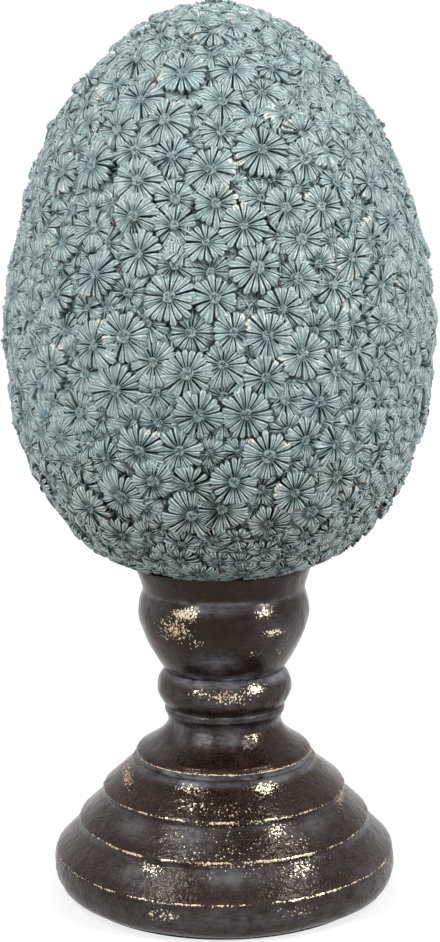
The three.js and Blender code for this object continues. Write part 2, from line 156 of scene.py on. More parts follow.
def noise(tree, size, detail=2, roughness=0.5, stretch=None):
    """Cloudy noise from 0 to 1, its lumps about size millimetres across and pressed by stretch."""
    vector = places(tree)
    if stretch:
        vector = add_node(tree, "ShaderNodeMapping", {"Vector": vector, "Scale": stretch}).outputs[0]
    inputs = {"Vector": vector, "Scale": 1 / (size * MM), "Detail": detail, "Roughness": roughness}
    return add_node(tree, "ShaderNodeTexNoise", inputs).outputs[0]


def calculate(tree, operation, *values, clamp=False):
    inputs = dict(enumerate(values))
    return add_node(tree, "ShaderNodeMath", inputs, operation=operation, use_clamp=clamp).outputs[0]


def plus(tree, first, second, clamp=False):
    return calculate(tree, "ADD", first, second, clamp=clamp)


def minus(tree, first, second):
    return calculate(tree, "SUBTRACT", first, second)


def times(tree, first, second, clamp=False):
    return calculate(tree, "MULTIPLY", first, second, clamp=clamp)


def ramp(tree, value, low, high):
    """0 where the value is under low, 1 where it is over high, and a smooth step between."""
    inputs = {"Value": value, "From Min": low, "From Max": high}
    return add_node(tree, "ShaderNodeMapRange", inputs, interpolation_type="SMOOTHSTEP").outputs[0]


def mix(tree, factor, first, second):
    inputs = {"Factor": factor, MIX_FIRST: first, MIX_SECOND: second}
    return add_node(tree, "ShaderNodeMix", inputs, data_type="RGBA").outputs[MIX_RESULT]


def attribute(tree, name):
    return add_node(tree, "ShaderNodeAttribute", {}, attribute_name=name).outputs["Fac"]


def bump(tree, height, depth):
    """A normal for a surface whose height is from 0 to 1, over depth millimetres."""
    inputs = {"Height": height, "Distance": depth * MM}
    return add_node(tree, "ShaderNodeBump", inputs).outputs[0]


# Paint of the egg. Colours are linear red, green and blue.

TEAL_GREEN = (0.256, 0.361, 0.342)
TEAL_BLUE = (0.232, 0.336, 0.353)
TEAL_WEAR_AND_HIGHLIGHT = (0.61, 0.735, 0.72)
TEAL_SHADE = (0.1, 0.15, 0.15)
TEAL_CREVICE = (0.012, 0.021, 0.021)
OLIVE_CREVICE = (0.021, 0.024, 0.016)
PETAL_CREAM = (0.92, 0.87, 0.78)
PETAL_BRONZE = (0.36, 0.22, 0.13)
TONE_IN_TINT = 0.35
GRAIN_IN_CREST = 0.9
GRAIN_IN_DEPTH = 0.25
GRIT_STRENGTH = 0.45


def teal_material():
    """Teal paint, paler on crests from wear and painted highlight, dark in crevices from wash and painted
    shade, and rubbed cream and bronze here and there.
    """
    material, tree = new_material("teal_paint")
    lift = attribute(tree, "lift")
    grain = noise(tree, size=0.8, detail=4, roughness=0.65)
    tint = plus(tree, times(tree, attribute(tree, "tone"), TONE_IN_TINT), noise(tree, size=16, detail=3))
    paint = mix(tree, ramp(tree, tint, low=0.4, high=0.95), TEAL_BLUE, TEAL_GREEN)
    # Paler crests: worn paint and painted highlight along the petals' ridges.
    crest_wear_and_highlight = plus(tree, attribute(tree, "crest"), times(tree, grain, GRAIN_IN_CREST))
    paint = mix(tree, ramp(tree, crest_wear_and_highlight, low=0.9, high=1.4), paint, TEAL_WEAR_AND_HIGHLIGHT)
    grit = ramp(tree, noise(tree, size=0.5, detail=3, roughness=0.6), low=0.42, high=0.72)
    paint = mix(tree, times(tree, grit, GRIT_STRENGTH), paint, TEAL_SHADE)
    olive = ramp(tree, noise(tree, size=9), low=0.5, high=0.7)
    crevice = mix(tree, olive, TEAL_CREVICE, OLIVE_CREVICE)
    # Dark crevice colour where lift is low: dark wash, and painted shade under higher daisies and towards
    # the egg's lower end.
    depth = plus(tree, lift, times(tree, grain, GRAIN_IN_DEPTH))
    paint = mix(tree, ramp(tree, depth, low=0.2, high=0.88), crevice, paint)
    brushed = ramp(tree, attribute(tree, "rubbed"), low=0.15, high=0.6)
    brushed = times(tree, brushed, ramp(tree, grain, low=0.45, high=0.52))
    metal = mix(tree, ramp(tree, lift, low=0.3, high=0.6), PETAL_BRONZE, PETAL_CREAM)
    set_surface(tree, {
        "Base Color": mix(tree, brushed, paint, metal),
        "Roughness": 0.27,
        "Specular IOR Level": 0.5,
        "Normal": bump(tree, grain, depth=0.035),
    })
    return material


# Paint of the stand

BROWN_PAINT = (0.0062, 0.0021, 0.0013)
BROWN_WORN = (0.025, 0.0105, 0.0073)
BROWN_GLINT = (0.12, 0.08, 0.06)
HAZE = (0.2, 0.207, 0.235)
BRONZE_GLOSS = (1.0, 0.8, 0.67)
GOLD_RUB_AND_HIGHLIGHT = (0.92, 0.8, 0.58)
COPPER_RUB = (0.5, 0.29, 0.19)
STROKES_IN_WEAR = 0.6
GLINT_STRENGTH = 0.3
UNRUBBED_LIMIT = 0.86
RUB_LOWERS_LIMIT = 0.52
GOLD_METALLIC = 0.4
GLOSSY_ROUGHNESS = 0.15
FINE_ROUGHNESS = 0.14
WAX_AND_SHEEN_ROUGHNESS = 0.25
LEAST_PEBBLES = 0.3
STROKE_HEIGHT = 0.07


def bronze_material():
    """Dark brown paint, pale in its grooves from wax and painted sheen, and gold and copper rubbed on in
    specks, some gold patches being painted highlights.
    """
    material, tree = new_material("bronze_paint")
    pebbled = attribute(tree, "pebbled")
    strokes = noise(tree, size=1.5, detail=4, roughness=0.65, stretch=(0.25, 0.25, 2.2))
    speckle = noise(tree, size=0.75, detail=2, roughness=0.55)
    pebbles = noise(tree, size=1.2, detail=1, roughness=0.4)
    fine = noise(tree, size=0.42, detail=1, roughness=0.5)
    mottle = noise(tree, size=4.5, detail=5, roughness=0.62)
    wear = plus(tree, times(tree, strokes, STROKES_IN_WEAR), mottle)
    brown = mix(tree, ramp(tree, wear, low=0.62, high=1.1), BROWN_PAINT, BROWN_WORN)
    # Pale haze: wax in the grooves and painted sheen where the stand reflects its bright surroundings.
    wax_and_sheen = times(tree, attribute(tree, "haze"), ramp(tree, wear, low=0.45, high=1.05), clamp=True)
    brown = mix(tree, wax_and_sheen, brown, HAZE)
    # Painted glints: pale specks on the pebbled paint.
    painted_glints = times(tree, ramp(tree, fine, low=0.56, high=0.64), times(tree, pebbled, GLINT_STRENGTH))
    brown = mix(tree, painted_glints, brown, BROWN_GLINT)
    # Gold specks where rubbed, dense in the patches that are painted highlights.
    limit = minus(tree, UNRUBBED_LIMIT, times(tree, attribute(tree, "rub"), RUB_LOWERS_LIMIT))
    gold = ramp(tree, minus(tree, speckle, limit), low=0.0, high=0.05)
    metal = mix(tree, attribute(tree, "copper"), GOLD_RUB_AND_HIGHLIGHT, COPPER_RUB)
    dull = times(tree, ramp(tree, fine, low=0.42, high=0.6), FINE_ROUGHNESS)
    dull = plus(tree, plus(tree, GLOSSY_ROUGHNESS, dull), times(tree, wax_and_sheen, WAX_AND_SHEEN_ROUGHNESS))
    height = times(tree, pebbles, plus(tree, LEAST_PEBBLES, pebbled))
    height = plus(tree, height, times(tree, strokes, STROKE_HEIGHT))
    set_surface(tree, {
        "Base Color": mix(tree, gold, brown, metal),
        "Metallic": times(tree, gold, GOLD_METALLIC),
        "Roughness": dull,
        "Specular IOR Level": 0.25,
        "Specular Tint": BRONZE_GLOSS,
        "Normal": bump(tree, height, depth=0.15),
    })
    return material


# Materials of the pieces that aren't painted

def grained_material(name, dark, light, grain, depth, surface):
    """A material of two colours mixed by one noise, which also stands out over depth millimetres."""
    material, tree = new_material(name)
    marks = noise(tree, **grain)
    set_surface(tree, {"Base Color": mix(tree, marks, dark, light), **surface})
    if depth:
        set_surface(tree, {"Normal": bump(tree, marks, depth)})
    return material


def felt_material():
    fibres = {"size": 0.35, "detail": 4, "roughness": 0.7, "stretch": (1.0, 0.35, 1.0)}
    surface = {"Roughness": 1.0, "Sheen Weight": 0.3}
    return grained_material("felt", (0.012, 0.012, 0.012), (0.035, 0.034, 0.034), fibres, 0.3, surface)


def hardboard_material():
    chips = {"size": 1.2, "detail": 5, "roughness": 0.7, "stretch": (1.0, 0.25, 1.0)}
    dark = (0.09, 0.05, 0.028)
    light = (0.2, 0.125, 0.075)
    return grained_material("hardboard", dark, light, chips, 0.1, {"Roughness": 0.85})


def raw_resin_material():
    """Unpainted casting resin of the plug that nobody sees."""
    cloud = {"size": 5, "detail": 3}
    dark = (0.5, 0.47, 0.4)
    light = (0.62, 0.59, 0.52)
    return grained_material("raw_resin", dark, light, cloud, 0, {"Roughness": 0.6})


def metal_material(name, dark, light, roughness):
    """Bare or plated metal with fine turning marks."""
    marks = {"size": 0.5, "detail": 3, "roughness": 0.6, "stretch": (0.3, 0.3, 3.0)}
    surface = {"Metallic": 1.0, "Roughness": roughness}
    return grained_material(name, dark, light, marks, 0.03, surface)


TEAL = teal_material()
BRONZE = bronze_material()
FELT = felt_material()


# Mesh helpers

def add_piece(name, points, faces, material, node, values, bake_map):
    """A smooth mesh with a float at each point for each of values, which rides on the one body."""
    mesh = bpy.data.meshes.new(name)
    mesh.from_pydata((points * MM).tolist(), [], faces)
    mesh.materials.append(material)
    mesh.shade_smooth()
    for key, numbers in values.items():
        made = mesh.attributes.new(key, "FLOAT", "POINT")
        made.data.foreach_set("value", np.ascontiguousarray(numbers, np.float32))
    layer = mesh.uv_layers.new(name="OFBake")
    layer.uv.foreach_set("vector", np.ascontiguousarray(bake_map, np.float32).ravel())
    piece = add_object(name, mesh)
    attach(piece, "root")
    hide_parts(node)


def grid_faces(rows, columns, closed):
    """Quads of a grid of points, row after row. A closed one joins its last column to its first."""
    row = np.arange(rows - 1)[:, None]
    column = np.arange(columns if closed else columns - 1)[None, :]
    following = (column + 1) % columns
    corners = [row * columns + column, row * columns + following]
    corners += [(row + 1) * columns + following, (row + 1) * columns + column]
    return np.stack(np.broadcast_arrays(*corners), -1).reshape(-1, 4)


def capped_faces(rows, sides):
    """Faces of a closed grid with a flat cap on its first ring and on its last."""
    ring = np.arange(sides)
    caps = [ring[::-1].tolist(), (ring + (rows - 1) * sides).tolist()]
    return grid_faces(rows, sides, True).tolist() + caps


def grid_map(rows, columns, row_places):
    """Corners of a closed grid's quads in the bake map, its rows at the given places from 0 to 1."""
    row, column = np.divmod(np.arange((rows - 1) * columns), columns)
    left = column / columns
    right = (column + 1) / columns
    low = row_places[row]
    high = row_places[row + 1]
    pairs = ((left, low), (right, low), (right, high), (left, high))
    return np.stack([np.stack(pair, 1) for pair in pairs], 1)


def ring_angles(sides):
    return 2 * math.pi * np.arange(sides) / sides


def ring_points(profile, sides):
    """Points of a profile spun about the upright axis, as profile point, side and x, y and z."""
    angle = ring_angles(sides)
    points = np.empty((len(profile), sides, 3))
    points[:, :, 0] = profile[:, :1] * np.sin(angle)
    points[:, :, 1] = -profile[:, :1] * np.cos(angle)
    points[:, :, 2] = profile[:, 1:]
    return points


def from_axis(points):
    """How far points are from the upright axis."""
    return np.hypot(points[..., 0], points[..., 1])


def smooth_step(value, low, high):
    share = np.clip((value - low) / (high - low), 0, 1)
    return share * share * (3 - 2 * share)


def waves(points, length, seed, count=28):
    """Smooth lumps, about -1 to 1, whose hills lie about length millimetres apart."""
    random = np.random.default_rng(seed)
    directions = random.normal(size=(count, 3))
    directions /= np.linalg.norm(directions, axis=1, keepdims=True)
    pace = 2 * math.pi / (length * random.uniform(0.75, 1.5, (count, 1)))
    phases = random.uniform(0, 2 * math.pi, count)
    total = np.zeros(len(points))
    for direction, phase in zip(directions * pace, phases):
        total += np.sin(points @ direction + phase)
    return total / math.sqrt(count)


# Outlines, as points of radius and level

SAME_POINT = 1e-4


def levels_of(node):
    """Lowest level, highest level and radius of a round node, in millimetres."""
    low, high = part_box(node)
    return low.z / MM, high.z / MM, high.x / MM


def swell(start, end, power, steps=24):
    """A stretch that leaves its first point straight up and bends over towards its last one."""
    share = np.linspace(0, 1, steps + 1)
    radius = start[0] + (end[0] - start[0]) * share**power
    return np.stack([radius, start[1] + (end[1] - start[1]) * share], 1)


def quarter_round(start, end, steps=16):
    """A quarter of an ellipse that leaves its first point sideways and arrives upright."""
    angle = np.linspace(0, math.pi / 2, steps + 1)
    radius = start[0] + (end[0] - start[0]) * np.sin(angle)
    return np.stack([radius, end[1] + (start[1] - end[1]) * np.cos(angle)], 1)


def lengths_along(outline):
    """How far along the outline each of its points is."""
    return np.append(0, np.cumsum(np.linalg.norm(np.diff(outline, axis=0), axis=1)))


def evenly_spaced(outline, spacing):
    """The outline in even steps of about spacing, without the points that it has twice."""
    outline = outline[np.append(True, np.diff(lengths_along(outline)) > SAME_POINT)]
    length = lengths_along(outline)
    marks = np.linspace(0, length[-1], max(2, round(length[-1] / spacing)) + 1)
    return np.stack([np.interp(marks, length, outline[:, axis]) for axis in (0, 1)], 1)


def softened(outline, reach):
    """The outline with its corners rounded over about reach millimetres, its ends kept."""
    spacing = np.linalg.norm(outline[1] - outline[0])
    count = math.ceil(3 * reach / spacing)
    weights = np.exp(-0.5 * (np.arange(-count, count + 1) * spacing / reach) ** 2)
    weights /= weights.sum()
    before = 2 * outline[0] - outline[count:0:-1]
    after = 2 * outline[-1] - outline[-2:-count - 2:-1]
    padded = np.concatenate([before, outline, after])
    return np.stack([np.convolve(padded[:, axis], weights, "valid") for axis in (0, 1)], 1)


# Rubbed patches on the front, and patches of haze: across, level, reach across, reach up and strength, in
# millimetres. Some gold patches are painted highlights, and the haze patches are painted sheen.

GOLD_AND_HIGHLIGHT_PATCHES = [
    (-12.3, 101.2, 6.0, 3.0, 0.98),
    (-15.8, 95.6, 8.6, 5.8, 0.75),
    (-8, 91.5, 5.0, 2.6, 0.6),
    (13.8, 101.2, 4.4, 2.4, 0.9),
    (16.8, 94.5, 4.8, 1.9, 0.8),
    (10, 87.5, 4.5, 2.5, 0.5),
    (18, 87, 4.5, 2.5, 0.5),
    (10, 74, 5.6, 2.6, 0.84),
    (2, 72, 12.0, 3.6, 0.72),
    (-9, 73, 7.0, 2.0, 0.68),
    (10.3, 56.5, 3.2, 1.8, 0.75),
    (-10.5, 43.4, 8.0, 1.9, 0.74),
    (13.7, 43, 5.4, 2.3, 0.88),
    (-10, 39, 11.0, 3.4, 0.56),
    (4, 38, 18.0, 4.4, 0.5),
    (17, 32, 5.4, 3.8, 0.72),
    (24, 28, 8.0, 3.0, 0.52),
    (-17, 30.5, 7.0, 3.0, 0.52),
    (25, 21.3, 9.0, 4.4, 0.68),
    (-24.5, 21.3, 6.0, 2.8, 0.7),
    (-20, 10, 10.0, 3.4, 0.6),
    (23, 10, 9.0, 3.6, 0.54),
    (0, 26, 34.0, 11.0, 0.46),
    (2, 34.8, 26.0, 1.6, 0.6),
    (4, 24, 30.0, 1.4, 0.56),
]
COPPER_PATCHES = [
    (0.5, 73, 2.8, 2.0, 0.9),
    (-17, 94.5, 8.0, 5.0, 0.6),
    (-33, 41.5, 3.0, 3.0, 0.9),
    (40, 34, 2.5, 3.5, 0.9),
    (54, 12, 3.0, 5.0, 0.6),
]
# Painted sheen on the front, in the same columns.
SHEEN_PATCHES = [
    (-24, 102, 6.0, 3.5, 0.4),
    (-4, 103, 9.0, 1.6, 0.6),
    (13, 103, 5.0, 1.6, 0.5),
    (-2, 84.5, 6.0, 3.5, 0.7),
    (-3, 75.8, 13.0, 1.5, 1.0),
    (-14, 58, 3.5, 4.0, 0.6),
    (-7, 56.5, 4.0, 2.2, 0.8),
    (2, 57, 4.0, 2.5, 0.7),
    (-24, 53, 5.0, 3.0, 0.4),
    (-12, 31, 9.0, 3.5, 0.65),
    (-30, 31, 7.0, 3.0, 0.45),
    (27, 31, 8.0, 3.0, 0.45),
    (2, 21, 12.0, 3.0, 0.55),
    (-28, 19, 9.0, 4.0, 0.5),
    (-14, 7, 8.0, 3.0, 0.35),
    (48, 12, 6.0, 4.0, 0.4),
    (0, 71, 20.0, 3.5, 0.32),
    (19, 95, 9.0, 8.0, 0.24),
    (0, 9, 50.0, 4.5, 0.32),
    (-4, 20, 44.0, 3.0, 0.2),
]


# Turned pieces of the stand

RING_SIDES = 288
ARRIS_REACH = 0.36
EDGE_AMBER = 0.45
STAND_LEAN = 0.5
LEAN_FROM = 46
LEAN_TO = 66
PROFILE_SPACING = 0.45
CORNER_SOFTNESS = 0.5
FADE_POINTS = 6
SEAT_GAP = 0.3
SEAT_REACH = 0.22

# Unevenness of the turned pieces, each with the length of its waves in millimetres

WARP = 0.22
WARP_WAVES = 34
RIPPLE = 0.07
RIPPLE_WAVES = 7
LEAST_PEBBLE = 0.02
PEBBLE = 0.04
PEBBLE_WAVES = 2.4
SAG = 0.12
SAG_WAVES = 26

# How the rubbed paint and the haze of wax and painted sheen vary over them

HAZE_SHARE = 0.35
HAZE_VARIES = 0.6
HAZE_WAVES = 11
LEAST_HAZE = 0.3
EDGE_SHARE = 0.94
EDGE_VARIES = 0.26
EDGE_WAVES = 9
SIDE_FADE = 0.3
SIDE_FROM = (0.55, 0.95)
CLUSTER_WAVES = 16
CLUSTER_FROM = (0.8, 2.2)
FRONT_CLUSTERS = 0.3
BACK_CLUSTERS = 0.7
COPPER_SHARE = 0.85


def patch_weight(points, patches):
    """How strongly the front of the stand is rubbed at each point."""
    weight = np.zeros(len(points))
    front = points[:, 1] < 0
    for across, level, wide, high, strength in patches:
        distance = ((points[:, 0] - across) / wide) ** 2 + ((points[:, 2] - level) / high) ** 2
        weight = np.maximum(weight, strength * np.exp(-distance) * front)
    return weight


def nearness(profile, marks):
    """How near each profile point is to marks, each with its radius, level, strength and reach."""
    weight = np.zeros(len(profile))
    for radius, level, strength, reach in marks:
        distance = np.hypot(profile[:, 0] - radius, profile[:, 1] - level)
        weight = np.maximum(weight, strength * np.exp(-((distance / reach) ** 2)))
    return weight


def paint_values(outside, edge, hollow, pebbled, seed):
    """How rubbed, hazy, coppery and pebbled each point outside a turned piece is, the rub partly painted
    highlights and the haze wax and painted sheen.
    """
    patchy = np.clip(HAZE_SHARE + HAZE_VARIES * waves(outside, HAZE_WAVES, seed + 4), 0, 1)
    broken = np.clip(EDGE_SHARE + EDGE_VARIES * waves(outside, EDGE_WAVES, seed + 6), 0, 1)
    sideways = np.abs(outside[:, 0]) / from_axis(outside)
    broken *= 1 - SIDE_FADE * smooth_step(sideways, *SIDE_FROM)
    clusters = smooth_step(waves(outside, CLUSTER_WAVES, seed + 5), *CLUSTER_FROM)
    copper = patch_weight(outside, COPPER_PATCHES)
    gold = patch_weight(outside, GOLD_AND_HIGHLIGHT_PATCHES)
    edge = np.repeat(edge, RING_SIDES) * broken
    copper = np.maximum(copper, EDGE_AMBER * np.minimum(edge, 1))
    behind = outside[:, 1] > 0
    clusters = clusters * np.where(behind, BACK_CLUSTERS, FRONT_CLUSTERS)
    rub = np.maximum.reduce([edge, gold, COPPER_SHARE * copper, clusters])
    haze = np.repeat(hollow, RING_SIDES) * (LEAST_HAZE + (1 - LEAST_HAZE) * patchy)
    haze = np.maximum(haze, patch_weight(outside, SHEEN_PATCHES))
    return {"rub": rub, "haze": haze, "copper": copper, "pebbled": np.full(len(outside), pebbled)}


def turned_piece(node, stretches, inner, arrises, grooves, pebbled, seed):
    """A stand piece spun from the stretches of its outside, bottom to top, and its plain inside."""
    profile = softened(evenly_spaced(np.concatenate(stretches), PROFILE_SPACING), CORNER_SOFTNESS)
    edge = nearness(profile, arrises)
    hollow = nearness(profile, grooves)
    outer_count = len(profile)
    profile = np.concatenate([profile, np.array(inner), profile[:1]])
    points = ring_points(profile, RING_SIDES)
    outside = points[:outer_count].reshape(-1, 3)
    fade = np.minimum(np.arange(outer_count), np.arange(outer_count)[::-1]) / FADE_POINTS
    fade = np.repeat(np.minimum(fade, 1), RING_SIDES)
    uneven = WARP * waves(outside, WARP_WAVES, seed) + RIPPLE * waves(outside, RIPPLE_WAVES, seed + 1)
    uneven += (LEAST_PEBBLE + PEBBLE * pebbled) * waves(outside, PEBBLE_WAVES, seed + 2)
    moved = outside.copy()
    moved[:, :2] *= 1 + (uneven * fade / from_axis(outside))[:, None]
    moved[:, 0] += STAND_LEAN * smooth_step(outside[:, 2], LEAN_FROM, LEAN_TO)
    moved[:, 2] += SAG * waves(outside, SAG_WAVES, seed + 3) * fade
    points[:outer_count] = moved.reshape(outer_count, RING_SIDES, 3)
    values = paint_values(outside, edge, hollow, pebbled, seed)
    inside = np.zeros((len(profile) - outer_count - 1) * RING_SIDES)
    values = {key: np.concatenate([numbers, inside]) for key, numbers in values.items()}
    points = points[:-1].reshape(-1, 3)
    faces = grid_faces(len(profile), RING_SIDES, True) % len(points)
    length = lengths_along(profile)
    bake_map = grid_map(len(profile), RING_SIDES, length / length[-1])
    add_piece(node + "_turned", points, faces.tolist(), BRONZE, node, values, bake_map)


# Sizes of the stand that its outlines are worked out from

ROD_HOLE_RADIUS = 4.4
SPIGOT_RADIUS = 11.4
SOCKET_RADIUS = 11.7
SPIGOT_DEPTH = 5
SOCKET_DEPTH = SPIGOT_DEPTH + SEAT_GAP
STEM_RADIUS = 20.4


def socket(top):
    """The outline from a piece's top face down its socket to the rod's hole."""
    floor = top - SOCKET_DEPTH
    return [(SOCKET_RADIUS, top), (SOCKET_RADIUS, floor), (ROD_HOLE_RADIUS, floor)]


def spigot(bottom):
    """The outline from the rod's hole round the end of a spigot and up to the piece's underside."""
    end = bottom - SPIGOT_DEPTH
    return [(ROD_HOLE_RADIUS, end), (SPIGOT_RADIUS, end), (SPIGOT_RADIUS, bottom)]


FOOT_BULGE = 5.2
FOOT_BULGE_HEIGHT = 7
FOOT_RIM_HEIGHT = 12.4
FOOT_RIM_INSET = 0.8
FOOT_WALL = 15
FOOT_ROOF = 5
COVER_SEAT = 2

# Treads of the foot: how far each goes in and rises, and the height and overhang of its riser

FOOT_TREADS = [(8.4, 8.7, 2.2, 0.4), (9.0, 8.5, 2.3, 0.7), (10.6, 9.0, 0.7, 0)]


def make_foot():
    bottom, top, widest = levels_of("stand_foot")
    cover_top = levels_of("base_cover")[1]
    rim = widest - FOOT_RIM_INSET
    rim_top = bottom + FOOT_RIM_HEIGHT
    under = widest - FOOT_BULGE
    bulge = (widest, bottom + FOOT_BULGE_HEIGHT)
    stretches = [quarter_round((under, bottom), bulge), swell(bulge, (rim, rim_top), 2)]
    arrises = [(rim, rim_top, 1.25, ARRIS_REACH)]
    grooves = [(under + 2, bottom + 1.5, 0.9, 2.0), (widest - 0.5, bottom + 4, 0.4, 2.0)]
    edge = (rim, rim_top)
    shoulder = edge
    for run, rise, riser, overhang in FOOT_TREADS:
        shoulder = edge
        inner = (edge[0] - run, edge[1] + rise)
        edge = (inner[0] + overhang, inner[1] + riser)
        stretches.append(np.array([inner, edge]))
        grooves.append((*inner, 0.4 if overhang else 1.2, 1.2))
        if overhang:
            arrises.append((*edge, 1.8, ARRIS_REACH))
    inner_wall = rim - FOOT_WALL
    roof = top - SOCKET_DEPTH - FOOT_ROOF
    inner = [
        *socket(top),
        (ROD_HOLE_RADIUS, roof),
        (shoulder[0] - FOOT_WALL, roof),
        (inner_wall, rim_top),
        (inner_wall, cover_top + SEAT_GAP),
        (inner_wall + COVER_SEAT + SEAT_GAP, cover_top + SEAT_GAP),
        (inner_wall + COVER_SEAT + SEAT_GAP, bottom),
    ]
    turned_piece("stand_foot", stretches, inner, arrises, grooves, pebbled=1.0, seed=11)


DOME_BROW_INSET = 1.4
DOME_BROW_HEIGHT = 4.2
DOME_EDGE_HEIGHT = 2.3
NECK_RADIUS = 19.4
NECK_HEIGHT = 13.2
LIP_FLARE = 0.5
LIP_RISE = 4


def make_pedestal():
    spigot_end, top, dome = levels_of("stand_pedestal")
    bottom = spigot_end + SPIGOT_DEPTH - SEAT_REACH
    brow = (dome - DOME_BROW_INSET, bottom + DOME_BROW_HEIGHT)
    edge = (dome, bottom + DOME_EDGE_HEIGHT)
    neck = (NECK_RADIUS, bottom + NECK_HEIGHT)
    lip = (STEM_RADIUS + LIP_FLARE, neck[1] + LIP_RISE)
    stretches = [
        quarter_round((dome - 0.25, bottom), edge),
        swell(edge, brow, 1.7),
        swell(neck, brow, 1.7)[::-1],
        swell(neck, lip, 1.6),
        swell(lip, (STEM_RADIUS, top), 2),
    ]
    arrises = [(dome, bottom + 2.2, 1.1, ARRIS_REACH)]
    grooves = [
        (dome, bottom + 0.4, 3.0, 1.3),
        (neck[0] + 0.3, neck[1] + 1, 0.5, 1.7),
        (lip[0], lip[1], 0.8, 0.6),
        (STEM_RADIUS, top, 0.9, 0.9),
    ]
    inner = socket(top) + spigot(bottom)
    turned_piece("stand_pedestal", stretches, inner, arrises, grooves, pebbled=0.5, seed=31)


BEAD_MIDDLE_HEIGHT = 6


def make_bead():
    spigot_end, top, widest = levels_of("stand_bead")
    bottom = spigot_end + SPIGOT_DEPTH - SEAT_REACH
    middle = (widest, bottom + BEAD_MIDDLE_HEIGHT)
    stretches = [
        swell(middle, (STEM_RADIUS, bottom), 2.1)[::-1],
        swell(middle, (STEM_RADIUS, top), 2.1),
    ]
    grooves = [(STEM_RADIUS, bottom, 0.8, 1.0), (STEM_RADIUS + 0.8, top - 0.8, 1.3, 1.8)]
    inner = socket(top) + spigot(bottom)
    turned_piece("stand_bead", stretches, inner, [], grooves, pebbled=0.5, seed=51)


COLLAR_HEIGHT = 9
COLLAR_FLARE = 2.6
BULB_SWELL = 1.8
BULB_UPPER_HEIGHT = 7.5
CUP_RIM_WALL = 3.2
CUP_FLOOR_RADIUS = 15.7


def make_cup():
    spigot_end, rim_level, rim = levels_of("stand_cup")
    floor = levels_of("egg_base_plug")[0] - SEAT_GAP
    bottom = spigot_end + SPIGOT_DEPTH - SEAT_REACH
    groove = (rim - COLLAR_FLARE, rim_level - COLLAR_HEIGHT)
    bulb = (groove[0] + BULB_SWELL, groove[1] - BULB_UPPER_HEIGHT)
    stretches = [
        swell(bulb, (STEM_RADIUS, bottom), 1.7, steps=40)[::-1],
        swell(bulb, groove, 1.9),
        swell(groove, (rim, rim_level - 0.5), 1.2),
        np.array([(rim, rim_level - 0.5), (rim - 0.5, rim_level)]),
    ]
    grooves = [(STEM_RADIUS + 0.5, bottom + 0.5, 1.0, 1.6), (*groove, 1.0, 0.8)]
    inner = [
        (rim - CUP_RIM_WALL + 2 * SEAT_GAP, rim_level),
        (CUP_FLOOR_RADIUS, floor + 2),
        (CUP_FLOOR_RADIUS, floor),
        (ROD_HOLE_RADIUS, floor),
        *spigot(bottom),
    ]
    turned_piece("stand_cup", stretches, inner, [], grooves, pebbled=0.1, seed=71)


make_foot()
make_pedestal()
make_bead()
make_cup()


# Egg: its skin without daisies

EGG_RADIUS = 68.9
EGG_UPPER_HEIGHT = 109.7
EGG_LOWER_HEIGHT = 77.0
EGG_UPPER_POWER = 0.528
EGG_LOWER_POWER = 0.405
EGG_SINK = 3.9
EGG_WALL = 5
EGG_SIDES = 120
FULLER_BY = 1.3
FULLER_FROM = (38, 66)
FULLER_UNTIL = (92, 110)
FULLER_WIDTH = 40
CROWN_FROM = (99, 111)
CROWN_SHIFT = 1.0
MERIDIAN_STEPS = 720
VIEW_STEP = 0.01

cup_rim = levels_of("stand_cup")[1]
cup_rim_radius = levels_of("stand_cup")[2]
egg_flat = levels_of("egg_shell")[0]
egg_level = cup_rim - EGG_SINK + EGG_LOWER_HEIGHT


def skin_radius(level):
    share = (level - egg_level) / np.where(level >= egg_level, EGG_UPPER_HEIGHT, EGG_LOWER_HEIGHT)
    power = np.where(level >= egg_level, EGG_UPPER_POWER, EGG_LOWER_POWER)
    return EGG_RADIUS * np.clip(1 - share * share, 0, 1) ** power


def meridian_table():
    """Angle from the egg's middle, radius and level of its skin, from its lower end to its top."""
    share = np.sin(np.linspace(-math.pi / 2, math.pi / 2, MERIDIAN_STEPS + 1))
    level = share * np.where(share >= 0, EGG_UPPER_HEIGHT, EGG_LOWER_HEIGHT)
    radius = skin_radius(egg_level + level)
    return np.arctan2(level, radius), radius, level


meridian_view, meridian_radius, meridian_level = meridian_table()


def fuller(points):
    """The points with the upper left of the egg moved out, where the real one is a little fuller."""
    above = points[..., 2] - egg_level
    share = smooth_step(above, *FULLER_FROM) * (1 - smooth_step(above, *FULLER_UNTIL))
    moved = points.copy()
    moved[..., 0] -= FULLER_BY * share * np.clip(-points[..., 0] / FULLER_WIDTH, 0, 1)
    moved[..., 0] -= CROWN_SHIFT * smooth_step(above, *CROWN_FROM)
    return moved


def skin_at(view):
    """Radius and level of the skin at angles up from the egg's middle."""
    return [np.interp(view, meridian_view, column) for column in (meridian_radius, meridian_level)]


def skin_towards(points):
    """Places and outward normals of the skin in the directions of the points."""
    across = from_axis(points)
    out = points[..., :2] / np.maximum(across, 1e-6)[..., None]
    view = np.arctan2(points[..., 2] - egg_level, across)
    radius, level = skin_at(view)
    lower_radius, lower_level = skin_at(view - VIEW_STEP)
    upper_radius, upper_level = skin_at(view + VIEW_STEP)
    run = upper_level - lower_level
    fall = lower_radius - upper_radius
    place = np.concatenate([out * radius[..., None], (egg_level + level)[..., None]], -1)
    normal = np.concatenate([out * run[..., None], fall[..., None]], -1)
    return place, normal / np.linalg.norm(normal, axis=-1, keepdims=True)
